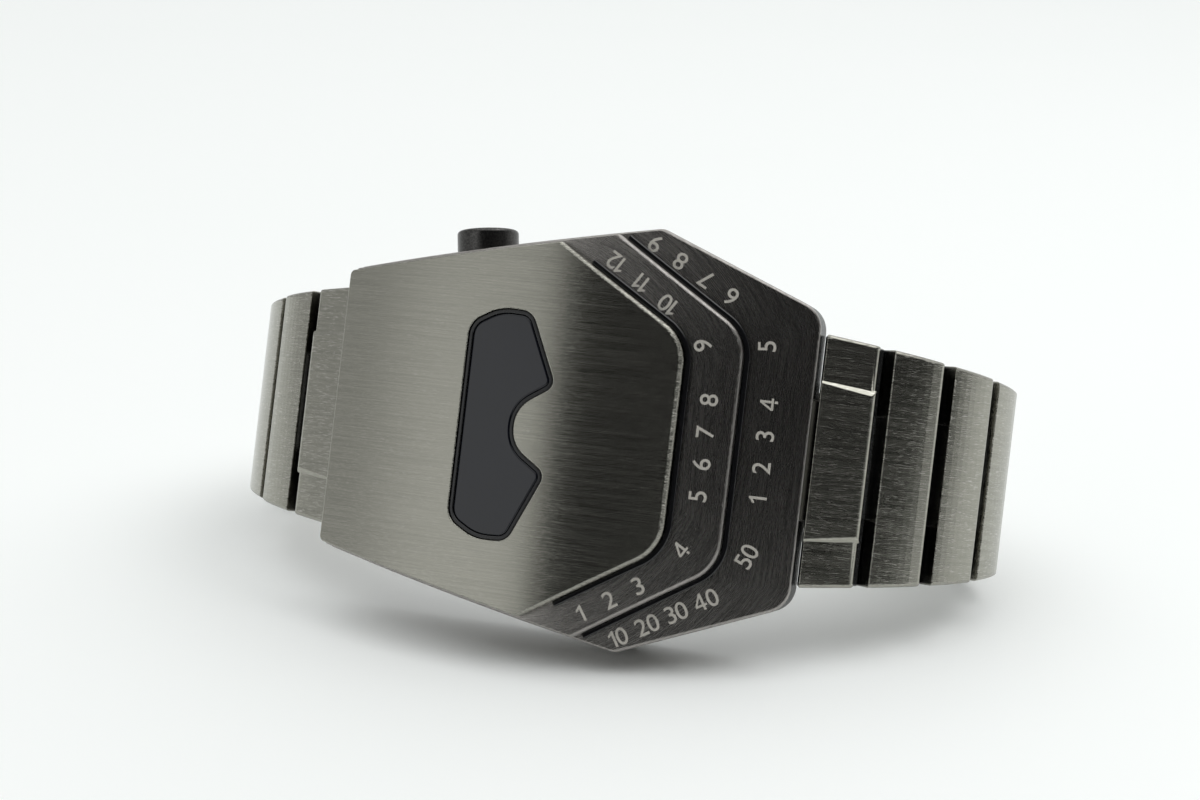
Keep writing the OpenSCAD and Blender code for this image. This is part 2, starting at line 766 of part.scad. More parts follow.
// Side view of a link whose outer face stands outer above its pins at both ends of its crown
module link_side_view(pitch, outer, crown) {
    end = pitch + nose_reach;
    middle = (body_start + end) / 2;
    bow = pow((end - body_start) / 2, 2) / (2 * crown) + crown / 2;
    corner_x = end - nose_round;
    corner_y = bow - outer - crown - sqrt(pow(bow - nose_round, 2) - pow(corner_x - middle, 2));
    difference() {
        union() {
            intersection() {
                translate([0, -outer - crown]) square([corner_x, outer + crown + link_inner]);
                translate([middle, bow - outer - crown]) circle(r = bow, $fn = curve_fn);
            }
            translate([corner_x, corner_y]) circle(r = nose_round);
            translate([corner_x - nose_round, corner_y])
                square([2 * nose_round, link_inner - corner_y]);
            intersection() {
                translate([pitch, 0]) circle(r = link_outer);
                translate([0, lip_top]) square([2 * pitch, link_inner - lip_top]);
            }
        }
        circle(r = body_start);
        translate([-wide, -wide]) square([wide + body_start, wide]);
    }
}

// Long bar whose section [y, z] lies along a link's edge that tapers by slope
module along_edge(slope) {
    rotate([0, atan(slope), 0]) rotate([90, 0, 90])
        linear_extrude(wide, center = true) children();
}

// The part of a link below one tapering edge, with a rounded outer corner
module edge_bar(half0, half1, pitch, top) {
    slope = (half0 - half1) / pitch;
    edge = half0 * cos(atan(slope));
    round = 0.5;
    along_edge(slope)
        polygon(concat([[link_inner + 2, edge], [link_inner + 2, -wide / 2], [-top, -wide / 2]],
            [for (a = [0:15:90]) [-top + round - round * cos(a), edge - round + round * sin(a)]]));
}

module both_edges(half0, half1, pitch, top) {
    intersection_for(m = [0, 1]) mirror([0, 0, m]) edge_bar(half0, half1, pitch, top);
}

// Room in a link's far end for the next tongue, open towards the wrist
module tongue_room(x) {
    half = tongue_width / 2 + side_gap;
    web_gap = 0.15;
    translate([x, 0, 0]) {
        cylinder(r = tongue_radius + link_gap, h = 2 * half, center = true);
        translate([0, -tongue_web_outer - web_gap, -half])
            cube([link_outer + 1, tongue_web_outer + web_gap + link_inner + 1, 2 * half]);
        translate([-tongue_radius - link_gap, 0, -half])
            cube([link_outer + 3, link_inner + 1, 2 * half]);
    }
}

tongue_web_outer = 0.7;
tongue_web_inner = tongue_radius - 0.15;

// Tongue round the pin at the origin, with a web to the body of its link
module tongue(radius, width, web, outer, inner) {
    cylinder(r = radius, h = width, center = true);
    translate([0, -outer, -width / 2]) cube([web, outer + inner, width]);
}

module pin_bore(x, gap) {
    translate([x, 0, 0]) cylinder(d = pin_d + 2 * gap, h = wide, center = true);
}

// Body of link i with the tongue at its near pin
module link_body(i, far_cut) {
    pitch = pitch_of(i);
    intersection() {
        linear_extrude(wide, center = true) difference() {
            link_side_view(pitch, link_outer, link_crown);
            translate([far_cut, -wide / 2]) square(wide);
        }
        both_edges(half_at(reach_of(i)), half_at(reach_of(i + 1)), pitch, link_outer + link_crown);
    }
    tongue(tongue_radius, tongue_width, body_start + 0.7, tongue_web_outer, tongue_web_inner);
}

// One link of the bracelet, i counted from the end link
module bracelet_link(side, i) {
    color(steel) lying() on_side(side) on_link(i) difference() {
        link_body(i, wide);
        pin_bore(0, running_gap);
        tongue_room(link_pitch);
        pin_bore(link_pitch, held_gap);
    }
}

// The last link of the 12 o'clock side ends in a plain tongue between the clasp's cheeks
last_tongue_half = cover_half - blade_thickness - 0.2;
last_body_gap = 2.3;

module last_link() {
    color(steel) lying() on_side(12) on_link(link_count - 1) difference() {
        union() {
            link_body(link_count - 1, link_pitch - last_body_gap);
            translate([link_pitch, 0, 0]) mirror([1, 0, 0])
                tongue(link_inner, 2 * last_tongue_half, last_body_gap + 0.6, 1, link_inner - 0.15);
        }
        pin_bore(0, running_gap);
        pin_bore(link_pitch, held_gap);
    }
}

// End link with a raised panel, cut off square beside the case's flat end
end_gap = 0.6;
// Gap to the case behind the end link's lip, and how far behind the hinge the lip starts
lip_gap = 0.15;
lip_start = 0.9;
lip_root = 0.5;
end_web = 3.6;
end_web_outer = 0.9;
end_web_inner = end_tongue_radius - 0.2;
panel_slope = 0.14;
panel_bevel = 0.6;
end_crown = 0.05;

module end_link(side) {
    half1 = half_at(end_link_pitch);
    color(steel) lying() on_side(side) on_link(0) difference() {
        union() {
            difference() {
                union() {
                    intersection() {
                        linear_extrude(wide, center = true)
                            end_link_side_view(link_outer);
                        both_edges(bracelet_half, half1, end_link_pitch, link_outer + end_crown);
                    }
                    intersection() {
                        linear_extrude(wide, center = true)
                            end_link_side_view(link_outer + panel_height);
                        intersection_for(m = [0, 1]) mirror([0, 0, m]) panel_bar();
                    }
                }
                rotate([0, 0, -link_tilts[0]])
                    translate([hinge_inset + end_gap - wide, -wide / 2, -wide / 2]) cube(wide);
            }
            intersection() {
                rotate([0, 0, -link_tilts[0]])
                    translate([hinge_inset + lip_gap, lip_start, -wide / 2])
                        cube([end_gap - lip_gap + lip_root, case_depth - hinge_y - lip_start, wide]);
                both_edges(bracelet_half, half1, end_link_pitch, link_outer + end_crown);
            }
            tongue(end_tongue_radius, end_tongue_width, end_web, end_web_outer, end_web_inner);
        }
        cylinder(d = bar_d + 2 * running_gap, h = wide, center = true);
        tongue_room(end_link_pitch);
        pin_bore(end_link_pitch, held_gap);
    }
}

// The end link's side view runs on to the case's end
module end_link_side_view(outer) {
    link_side_view(end_link_pitch, outer, end_crown);
    translate([0, -outer]) square([end_link_pitch / 2, outer + link_inner]);
}

// The part below one bevelled and tapering edge of the raised panel
module panel_bar() {
    top = link_outer + panel_height + end_crown;
    edge = panel_half * cos(atan(panel_slope));
    along_edge(panel_slope)
        polygon([[0, edge + panel_bevel], [0, -wide / 2], [-top, -wide / 2], [-top, edge],
            [-link_outer, edge + panel_bevel]]);
}

// Pin of the hinge at the case's end of link i
module link_pin(side, i) {
    half = half_at(reach_of(i)) - 0.3;
    color(bare_steel) lying() on_side(side)
        translate([pin_at(i)[0], pin_at(i)[1], 0]) cylinder(d = pin_d, h = 2 * half, center = true);
}

// Spring bar that joins an end link to the case
module end_spring_bar(side) {
    color(bare_steel) lying() on_side(side) translate([hinge_x, hinge_y, 0]) {
        cylinder(d = bar_d, h = end_tongue_width, center = true);
        cylinder(d = bar_tip_d, h = end_tongue_width + 2 * (side_gap + bar_tip), center = true);
    }
}

// Clasp: levels measured from the circle of its end pivots, outwards positive
cover_out = link_outer;
cover_in = cover_out - blade_thickness;
inner_in = -1.7;
inner_out = inner_in + blade_thickness;
middle_in = -blade_thickness / 2;
middle_out = blade_thickness / 2;
fold_pin_d = 0.7;
fold_radius = fold_pin_d / 2 + 0.45;
near_level = -fold_radius;
far_level = 0.1;
// Distances along the circle from its middle, positive towards the 6 o'clock side
fold_reach = clasp_reach - fold_inset;
cover_stop_6 = clasp_reach - 4.9;
cover_stop_12 = -(clasp_reach - 2.7);
fold_gap = 0.15;
knuckle_half = 3;

function clasp_point(level, reach) = clasp_centre
    + (clasp_radius + level) * [sin(reach * degrees_per_mm), cos(reach * degrees_per_mm)];

// Arc between two levels and between two distances along the circle
module clasp_arc(level0, level1, reach0, reach1) {
    far = 20;
    intersection() {
        translate(clasp_centre) difference() {
            circle(r = clasp_radius + level1, $fn = 4 * curve_fn);
            circle(r = clasp_radius + level0, $fn = 4 * curve_fn);
        }
        polygon([clasp_centre, clasp_point(far, reach0), clasp_point(far, reach1)]);
    }
}

// Extrudes a side view between two distances from the middle plane, on both sides
module side_walls(from, to) {
    for (m = [0, 1]) mirror([0, 0, m]) translate([0, 0, from]) linear_extrude(to - from) children();
}

module fold_bore(level, reach, gap) {
    translate([clasp_point(level, reach)[0], clasp_point(level, reach)[1], 0])
        cylinder(d = fold_pin_d + 2 * gap, h = wide, center = true);
}

module clasp_end_pin() {
    half = clasp_half - 0.3;
    color(bare_steel) lying() translate([clasp_pin[0], clasp_pin[1], 0])
        cylinder(d = pin_d, h = 2 * half, center = true);
}

// Blade next to the wrist, with a block that hinges in the last link of the 6 o'clock side
module clasp_inner_blade() {
    block = 4.6;
    block_half = cover_half;
    color(dark_steel) lying() difference() {
        union() {
            linear_extrude(2 * blade_half, center = true) difference() {
                clasp_arc(inner_in, inner_out, -fold_reach, clasp_reach - block + 0.5);
                translate(clasp_point(near_level, -fold_reach)) circle(r = fold_radius + fold_gap);
            }
            side_walls(knuckle_half + side_gap, blade_half) {
                clasp_arc(inner_in, inner_out, -fold_reach, -fold_reach + 4);
                translate(clasp_point(near_level, -fold_reach)) circle(r = fold_radius);
            }
            translate([clasp_pin[0], clasp_pin[1], 0]) rotate([0, 0, 180 - clasp_angle]) {
                linear_extrude(2 * block_half, center = true) difference() {
                    translate([0, -link_outer]) square([block, link_outer - inner_in]);
                    circle(r = body_start);
                    translate([-wide, -wide]) square([wide + body_start, wide]);
                }
                tongue(tongue_radius, tongue_width, body_start + 0.7, tongue_web_outer,
                    tongue_web_inner);
            }
        }
        translate([clasp_pin[0], clasp_pin[1], 0]) pin_bore(0, running_gap);
        fold_bore(near_level, -fold_reach, running_gap);
    }
}

module clasp_middle_blade() {
    color(dark_steel) lying() difference() {
        union() {
            linear_extrude(2 * blade_half, center = true) difference() {
                clasp_arc(middle_in, middle_out, -fold_reach, fold_reach);
                translate(clasp_point(near_level, -fold_reach)) circle(r = fold_radius + fold_gap);
                translate(clasp_point(far_level, fold_reach)) circle(r = fold_radius + fold_gap);
            }
            linear_extrude(2 * knuckle_half, center = true) {
                clasp_arc(middle_in, middle_out, -fold_reach, fold_reach);
                translate(clasp_point(near_level, -fold_reach)) circle(r = fold_radius);
                translate(clasp_point(far_level, fold_reach)) circle(r = fold_radius);
            }
        }
        fold_bore(near_level, -fold_reach, held_gap);
        fold_bore(far_level, fold_reach, held_gap);
    }
}

module clasp_hinge_pins() {
    ends = [[near_level, -fold_reach], [far_level, fold_reach]];
    color(bare_steel) lying() for (p = ends)
        translate([clasp_point(p[0], p[1])[0], clasp_point(p[0], p[1])[1], 0])
            cylinder(d = fold_pin_d, h = 2 * blade_half - 0.2, center = true);
}

// Outer cover with side walls that run on as cheeks round the 12 o'clock pivot
module clasp_cover() {
    cheek_radius = 1.4;
    color(steel) lying() difference() {
        union() {
            linear_extrude(2 * cover_half, center = true)
                clasp_arc(cover_in, cover_out, cover_stop_12, cover_stop_6);
            side_walls(cover_half - blade_thickness, cover_half) {
                clasp_arc(inner_in, cover_out, cover_stop_12, cover_stop_6);
                clasp_arc(-cheek_radius + 0.1, cheek_radius - 0.1, -clasp_reach, cover_stop_12 + 1);
                translate(clasp_point(0, -clasp_reach)) circle(r = cheek_radius);
            }
            side_walls(knuckle_half + side_gap, blade_half) {
                clasp_arc(far_level, cover_in + 0.1, fold_reach - fold_radius + 0.05,
                    fold_reach + fold_radius - 0.05);
                translate(clasp_point(far_level, fold_reach)) circle(r = fold_radius);
            }
        }
        fold_bore(far_level, fold_reach, running_gap);
        translate([-clasp_pin[0], clasp_pin[1], 0]) pin_bore(0, running_gap);
    }
}

// Spring bar of the last link, drawn in so that its tips are clear of the cheeks
module clasp_spring_bar() {
    color(bare_steel) lying() translate([-clasp_pin[0], clasp_pin[1], 0])
        cylinder(d = pin_d, h = 2 * last_tongue_half - 0.1, center = true);
}

case_body();
hour_tier();
top_cover();
display_lens();
lens_gasket();
hour_light_strip();
minute_light_strip();
hour_leds();
minute_leds();
display_module();
circuit_board();
controller_chip();
quartz_crystal();
module_frame();
battery_cells();
battery_clip();
button_contact();
cover_screws();
case_back();
case_back_gasket();
case_back_screws();
pusher_tube();
pusher_gasket();
pusher();
pusher_clip();
pusher_spring();
end_spring_bar(6);  // spring_bar_6
end_link(6);  // end_link_6
bracelet_link(6, 1);  // link_6_1
bracelet_link(6, 2);  // link_6_2
bracelet_link(6, 3);  // link_6_3
bracelet_link(6, 4);  // link_6_4
bracelet_link(6, 5);  // link_6_5
bracelet_link(6, 6);  // link_6_6
link_pin(6, 1);  // pin_6_1
link_pin(6, 2);  // pin_6_2
link_pin(6, 3);  // pin_6_3
link_pin(6, 4);  // pin_6_4
link_pin(6, 5);  // pin_6_5
link_pin(6, 6);  // pin_6_6
end_spring_bar(12);  // spring_bar_12
end_link(12);  // end_link_12
bracelet_link(12, 1);  // link_12_1
bracelet_link(12, 2);  // link_12_2
bracelet_link(12, 3);  // link_12_3
bracelet_link(12, 4);  // link_12_4
bracelet_link(12, 5);  // link_12_5
last_link();  // link_12_6
link_pin(12, 1);  // pin_12_1
link_pin(12, 2);  // pin_12_2
link_pin(12, 3);  // pin_12_3
link_pin(12, 4);  // pin_12_4
link_pin(12, 5);  // pin_12_5
link_pin(12, 6);  // pin_12_6
clasp_end_pin();
clasp_inner_blade();
clasp_middle_blade();
clasp_hinge_pins();
clasp_cover();
clasp_spring_bar();
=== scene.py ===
import json
import math

import bmesh
import bpy
from mathutils import Matrix, Vector, geometry


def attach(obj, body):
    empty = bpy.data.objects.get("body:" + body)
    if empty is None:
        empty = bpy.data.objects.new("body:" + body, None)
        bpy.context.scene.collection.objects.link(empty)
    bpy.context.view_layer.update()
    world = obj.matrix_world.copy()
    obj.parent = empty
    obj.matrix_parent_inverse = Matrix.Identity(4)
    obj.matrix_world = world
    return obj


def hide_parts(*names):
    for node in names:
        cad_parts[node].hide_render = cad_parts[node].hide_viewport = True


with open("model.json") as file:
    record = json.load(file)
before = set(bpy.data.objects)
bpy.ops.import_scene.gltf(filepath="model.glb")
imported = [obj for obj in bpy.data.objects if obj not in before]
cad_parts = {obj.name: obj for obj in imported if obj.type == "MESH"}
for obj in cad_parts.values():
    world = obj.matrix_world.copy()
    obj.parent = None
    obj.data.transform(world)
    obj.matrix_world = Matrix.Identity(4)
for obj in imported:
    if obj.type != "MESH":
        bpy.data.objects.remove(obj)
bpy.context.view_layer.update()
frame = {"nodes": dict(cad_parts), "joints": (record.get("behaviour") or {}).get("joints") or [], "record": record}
print("frame loaded:", len(frame["nodes"]), "nodes")

mm = 0.001
scene = bpy.context.scene
joints = {joint["name"]: joint for joint in frame["joints"]}

caseShape = {
    "length": 49.6,
    "width": 42.7,
    "endWidth": 29.7,
    "shoulderX": 8.6,
    "endRadius": 0.6,
    "slantRadius": 0.6,
    "shoulderRadius": 1.5,
    "snoutRadius": 2.8,
    "frontRadius": 73.0,
    "depth": 10.7,
    "backDepth": 12.1,
    "ceilingDepth": 4.0,
    "cavity": (34.0, 27.0, 2.0),
    "cavityDrop": 1.6,
    "cutStart": -1.0,
    "cavityEnd": 14.0,
    "lightEnd": 8.0,
    "boreEnd": 6.0,
    "topRims": (0.2, 0.32, 0.2, 0.32, 0.2, 0.2),
    "rimSteps": 5,
}
coverShape = {
    "thickness": 1.3,
    "inset": 0.65,
    "slantX": -0.9,
    "noseX": 12.55,
    "noseWidth": 20.9,
    "noseRadius": 4.6,
    "rims": (0.14, 0.42, 0.48, 0.42, 0.14, 0.14),
}
hourShape = {
    "thickness": 1.3,
    "inset": 0.3,
    "slantX": 4.5,
    "noseX": 17.9,
    "noseWidth": 23.3,
    "noseRadius": 4.5,
    "rims": (0.14, 0.36, 0.28, 0.36, 0.14, 0.14),
}
windowShape = {
    "backX": -9.8,
    "backZ": 10.0,
    "backRadius": 2.2,
    "endZ": 11.55,
    "crests": ((-1.8, 0.2, 5.0), (1.7, 0.05, 1.8)),  # from the middle, over endZ, radius
    "lobeX": 0.15,
    "lobeZ": 4.4,
    "lobeRadius": 1.2,
    "notchX": -3.75,
    "notchDrop": 2.55,
    "notchRadius": 3.2,
    "gasketWidth": 0.45,
    "gasketRim": 0.16,
    "gasketInnerRim": 0.1,
    "lensDrop": 0.3,
    "gasketDrop": 0.2,
    "ledge": 0.7,
    "rim": 0.12,
    "lensRim": 0.22,
}
seatGap = 0.02
leastRadius = 0.05
mergeGap = 1e-4
sliceGap = 1e-5
parallelGap = 1e-6
sidesOf = {"pusher": 96, "knuckle": 48, "pin": 32}  # flat sides of a round cut

mount = frame["record"]["mounts"][0]
inward = Vector(mount["axis"]).normalized()
along = Vector((1.0, 0.0, 0.0))
across = along.cross(inward)
watchPlace = Matrix((along, inward, across)).transposed().to_4x4()
watchPlace.translation = Vector(mount["pos_m"]) - inward * caseShape["backDepth"] * mm
watchMm = watchPlace @ Matrix.Scale(mm, 4)
rowToWatch = watchMm.inverted()


def frontY(x, depth):
    r = caseShape["frontRadius"]
    return r - math.sqrt((r - depth) ** 2 - x * x)


def sideZ(x):
    half = caseShape["length"] / 2
    return caseShape["endWidth"] / 2 + (caseShape["width"] - caseShape["endWidth"]) / 2 * (x + half) / (
        caseShape["shoulderX"] + half)


def bothSides(upper):
    return upper + [(x, -z, r) for x, z, r in reversed(upper)]


def stepCorners(shape):
    # outline of a raised step: flat 12 o'clock end, sides, slants and nose
    half = -caseShape["length"] / 2
    return bothSides([
        (half + seatGap, sideZ(half) - shape["inset"], caseShape["endRadius"]),
        (shape["slantX"], sideZ(shape["slantX"]) - shape["inset"], caseShape["slantRadius"]),
        (shape["noseX"], shape["noseWidth"] / 2, shape["noseRadius"]),
    ])


def cornerFrame(corners, i):
    a, b, c = (Vector(corners[k % len(corners)][:2]) for k in (i - 1, i, i + 1))
    e = (b - a).normalized()
    f = (c - b).normalized()
    return b, e, f, Vector((e.y, -e.x)), Vector((f.y, -f.x))


def movedCorner(corners, i, before, after):
    # corner i after its two edges moved inwards
    b, e, f, ne, nf = cornerFrame(corners, i)
    det = ne.x * nf.y - ne.y * nf.x
    if abs(det) < parallelGap:
        return b + ne * before
    return b + Vector(((before * nf.y - after * ne.y) / det, (after * ne.x - before * nf.x) / det))


def insetCorners(corners, distance):
    moved = []
    for i, corner in enumerate(corners):
        b, e, f, ne, nf = cornerFrame(corners, i)
        bend = 1 if e.x * f.y - e.y * f.x < 0 else -1
        p = movedCorner(corners, i, distance, distance)
        moved.append((p.x, p.y, max(leastRadius, corner[2] - bend * distance)))
    return moved


def ringPoints(corners, rims, insetShare, depthShare, arcStep=7.0):
    # points [x, z, depth] of the rounded outline, moved in by a share of each edge's rim
    points = []
    for i, corner in enumerate(corners):
        b, e, f, ne, nf = cornerFrame(corners, i)
        before = rims[i - 1] * insetShare
        after = rims[i] * insetShare
        p = movedCorner(corners, i, before, after)
        bend = 1 if e.x * f.y - e.y * f.x < 0 else -1
        turn = math.acos(max(-1.0, min(1.0, e.dot(f))))
        r = max(leastRadius, corner[2] - bend * (before + after) / 2)
        centre = p - e * r * math.tan(turn / 2) + ne * bend * r
        start = -ne * bend * r
        steps = max(2, math.ceil(math.degrees(turn) / arcStep))
        for k in range(steps + 1):
            angle = -bend * turn * k / steps
            spoke = Vector((start.x * math.cos(angle) - start.y * math.sin(angle),
                start.x * math.sin(angle) + start.y * math.cos(angle)))
            rim = abs(rims[i - 1] + (rims[i] - rims[i - 1]) * k / steps)
            points.append((centre.x + spoke.x, centre.y + spoke.y, rim * depthShare))
    return points


def bridge(bm, ringA, ringB):
    count = len(ringA)
    for k in range(count):
        n = (k + 1) % count
        bm.faces.new((ringA[k], ringA[n], ringB[n], ringB[k]))


def capRings(bm, rings):
    flat = [v for ring in rings for v in ring]
    outlines = [[Vector((v.co.x, v.co.z, 0)) for v in ring] for ring in rings]
    for triangle in geometry.tessellate_polygon(outlines):
        bm.faces.new([flat[k] for k in triangle])


def slicePlane(bm, point, normal):
    bmesh.ops.bisect_plane(bm, geom=bm.verts[:] + bm.edges[:] + bm.faces[:], dist=sliceGap,
        plane_co=point, plane_no=normal)


def curvedPlate(outer, holes, top, bottom, flatY=None):
    # plate between two depths behind the front, drawn flat, sliced across X and then bent
    bm = bmesh.new()
    rimSteps = caseShape["rimSteps"]
    flat = bm.verts.layers.float.new("flat")
    firstRings = []
    lastRings = []
    for corners, rims in [outer] + holes:
        rings = []
        for k in range(rimSteps + 1):
            angle = math.pi / 2 * k / rimSteps
            points = ringPoints(corners, rims, 1 - math.sin(angle), 1 - math.cos(angle))
            rings.append([bm.verts.new((x, top + depth, z)) for x, z, depth in points])
        foot = [bm.verts.new((x, bottom, z)) for x, z, depth in ringPoints(corners, rims, 0, 0)]
        for v in foot:
            v[flat] = 0 if flatY is None else 1
        rings.append(foot)
        for ringA, ringB in zip(rings, rings[1:]):
            bridge(bm, ringA, ringB)
        firstRings.append(rings[0])
        lastRings.append(rings[-1])
    capRings(bm, firstRings)
    capRings(bm, lastRings)
    low = math.floor(min(v.co.x for v in bm.verts))
    high = math.ceil(max(v.co.x for v in bm.verts))
    for x in range(low + 1, high):
        slicePlane(bm, (x, 0, 0), (1, 0, 0))
    for v in bm.verts:
        bent = frontY(v.co.x, v.co.y)
        v.co.y = bent if flatY is None else bent + (flatY - bent) * v[flat]
    bm.verts.layers.float.remove(flat)
    return meshFrom(bm)


def toMesh(bm, name="piece"):
    mesh = bpy.data.meshes.new(name)
    bm.to_mesh(mesh)
    bm.free()
    return mesh


def meshFrom(bm):
    bmesh.ops.remove_doubles(bm, verts=bm.verts[:], dist=mergeGap)
    bmesh.ops.recalc_face_normals(bm, faces=bm.faces[:])
    return toMesh(bm)


def addObject(name, data):
    obj = bpy.data.objects.new(name, data)
    scene.collection.objects.link(obj)
    return obj


def prism(corners, y0, y1):
    # straight block of a rounded outline, used to cut
    bm = bmesh.new()
    points = ringPoints(corners, [0] * len(corners), 0, 0)
    rings = [[bm.verts.new((x, y, z)) for x, z, depth in points] for y in (y0, y1)]
    bridge(bm, rings[0], rings[1])
    capRings(bm, rings[:1])
    capRings(bm, rings[1:])
    return meshFrom(bm)


def boxCorners(length, width, r):
    return bothSides([(-length / 2, width / 2, r), (length / 2, width / 2, r)])


def rod(radius, z0, z1, place, segments=64):
    bm = bmesh.new()
    bmesh.ops.create_cone(bm, cap_ends=True, segments=segments, radius1=radius, radius2=radius,
        depth=z1 - z0, matrix=place @ Matrix.Translation((0, 0, (z0 + z1) / 2)))
    return meshFrom(bm)


def block(low, high):
    bm = bmesh.new()
    size = [b - a for a, b in zip(low, high)]
    middle = [(a + b) / 2 for a, b in zip(low, high)]
    bmesh.ops.create_cube(bm, size=1, matrix=Matrix.Translation(middle) @ Matrix.Diagonal(size + [1]))
    return meshFrom(bm)


def evaluated(obj):
    bpy.context.view_layer.update()
    depsgraph = bpy.context.evaluated_depsgraph_get()
    return bpy.data.meshes.new_from_object(obj.evaluated_get(depsgraph), preserve_all_data_layers=True,
        depsgraph=depsgraph)


def combined(mesh, steps):
    # cuts or joins other meshes, one after another
    obj = addObject("work", mesh)
    helpers = []
    for operation, other in steps:
        helper = addObject("helper", other)
        helpers.append(helper)
        boolean = obj.modifiers.new("boolean", "BOOLEAN")
        boolean.operation = operation
        boolean.solver = "EXACT"
        boolean.object = helper
    result = evaluated(obj)
    for item in helpers + [obj]:
        bpy.data.objects.remove(item)
    return result


brushShape = {
    "facing": 0.8,
    "roundFacing": 0.5,
    "arcCentre": (-4.0, 0.0),
    "arcScale": 20.0,
    "leastArc": 0.1,
}
normalRules = {
    "flat": 0.5,  # degrees between faces of one flat region
    "bend": 14.0,  # degrees from which an edge counts as a rim
    "sharp": 38.0,  # degrees from which an edge isn't smoothed
    "onCurve": 0.9985,  # least cosine to the curved front's own normal
}


def brushAlongX(p, n):
    if abs(n.z) > brushShape["facing"]:
        return p.y, p.x
    if abs(n.x) > brushShape["facing"]:
        return p.z, p.y
    return p.z, p.x


def brushRound(p, n):
    # strokes that turn with the steps' noses, as arcs round a point near the middle of the case
    spoke = Vector((p.x, p.z)) - Vector(brushShape["arcCentre"])
    r = max(spoke.length, brushShape["leastArc"])
    turned = math.atan2(spoke.y, spoke.x) * brushShape["arcScale"]
    return (r if abs(n.y) > brushShape["roundFacing"] else p.y), turned


def frontNormal(p):
    return Vector((p.x, p.y - caseShape["frontRadius"], 0)).normalized()


def faceRegions(bm):
    # area of the flat region that each face belongs to
    flat = math.radians(normalRules["flat"])
    area = {}
    for first in bm.faces:
        if first in area:
            continue
        region = [first]
        area[first] = 0.0
        for face in region:
            for e in face.edges:
                if len(e.link_faces) == 2 and e.calc_face_angle(0.0) < flat:
                    other = e.link_faces[0] if e.link_faces[1] == face else e.link_faces[1]
                    if other not in area:
                        area[other] = 0.0
                        region.append(other)
        total = sum(face.calc_area() for face in region)
        for face in region:
            area[face] = total
    return area


def cornerNormals(bm, curvedFront):
    # normals that keep large faces flat and leave the bend to the rims between them
    area = faceRegions(bm)
    normals = {}
    for v in bm.verts:
        openFaces = list(v.link_faces)
        while openFaces:
            fan = [openFaces.pop()]
            for face in fan:
                for e in face.edges:
                    if v in e.verts and e.smooth:
                        for other in e.link_faces:
                            if other in openFaces:
                                openFaces.remove(other)
                                fan.append(other)
            total = Vector()
            for face in fan:
                loop = next(item for item in face.loops if item.vert == v)
                total += face.normal * area[face] * loop.calc_angle()
            exact = frontNormal(v.co) if curvedFront else None
            if exact and any(face.normal.dot(exact) > normalRules["onCurve"] for face in fan):
                total = exact
            for face in fan:
                normals[face.index, v.index] = total.normalized()
    return normals


def finishPiece(name, mesh, body, nodes, material, brush=None, groove=None, curvedFront=False):
    # sets the rim mask (rougher rims with a painted highlight), the painted groove shade, brushing and normals,
    # moves the piece into the model's frame and hands it over
    bm = bmesh.new()
    bm.from_mesh(mesh)
    bmesh.ops.remove_doubles(bm, verts=bm.verts[:], dist=2 * mergeGap)
    bm.normal_update()
    sharp = math.radians(normalRules["sharp"])
    bend = math.radians(normalRules["bend"])
    bent = set()
    for face in bm.faces:
        face.smooth = True
    for e in bm.edges:
        if len(e.link_faces) == 2:
            angle = e.calc_face_angle_signed(0.0)
            e.smooth = abs(angle) < sharp
            if bend < angle < sharp:
                bent.add(e)
    rimVerts = {v for e in bent for v in e.verts}
    edge = bm.loops.layers.float.new("edge")
    # mask of painted shade in the grooves
    paintedShade = bm.loops.layers.float.new("groove")
    layer = bm.loops.layers.uv.get("brush") or bm.loops.layers.uv.new("brush")
    for face in bm.faces:
        rim = any(e in bent for e in face.edges)
        for loop in face.loops:
            loop[edge] = 1.0 if rim and loop.vert in rimVerts else 0.0
            if brush:
                loop[layer].uv = brush(loop.vert.co, face.normal)
            if groove:
                loop[paintedShade] = groove(loop.vert.co, face.normal)
    bm.verts.index_update()
    bm.faces.index_update()
    normals = cornerNormals(bm, curvedFront)
    turn = watchMm.to_3x3()
    ordered = [(turn @ normals[face.index, loop.vert.index]).normalized()
        for face in bm.faces for loop in face.loops]
    bmesh.ops.transform(bm, matrix=watchMm, verts=bm.verts[:])
    final = toMesh(bm, name)
    final.normals_split_custom_set(ordered)
    final.materials.append(material)
    obj = addObject(name, final)
    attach(obj, body)
    if nodes:
        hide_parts(*nodes)


def addNode(tree, kind, values=None, **settings):
    node = tree.nodes.new(kind)
    for key, value in settings.items():
        setattr(node, key, value)
    for key, value in (values or {}).items():
        if isinstance(value, bpy.types.NodeSocket):
            tree.links.new(value, node.inputs[key])
        else:
            node.inputs[key].default_value = value
    return node


def mathNode(tree, operation, a, b=0.0, c=0.0):
    return addNode(tree, "ShaderNodeMath", {0: a, 1: b, 2: c}, operation=operation).outputs[0]


def mixColour(tree, factor, a, b):
    return addNode(tree, "ShaderNodeMix", {0: factor, 6: a, 7: b}, data_type="RGBA").outputs[2]


def ramp(tree, value, low, high, outLow=0.0, outHigh=1.0):
    node = addNode(tree, "ShaderNodeMapRange", {"Value": value, "From Min": low, "From Max": high,
        "To Min": outLow, "To Max": outHigh}, interpolation_type="SMOOTHSTEP")
    return node.outputs[0]


def noise(tree, vector, scale, detail, **more):
    return addNode(tree, "ShaderNodeTexNoise", {"Vector": vector, "Scale": scale, "Detail": detail,
        **more}).outputs[0]


def objectPlace(tree):
    return addNode(tree, "ShaderNodeTexCoord").outputs["Object"]


def addBump(tree, shader, height, strength, depth):
    bump = addNode(tree, "ShaderNodeBump", {"Height": height, "Strength": strength, "Distance": depth})
    tree.links.new(bump.outputs[0], shader.inputs["Normal"])


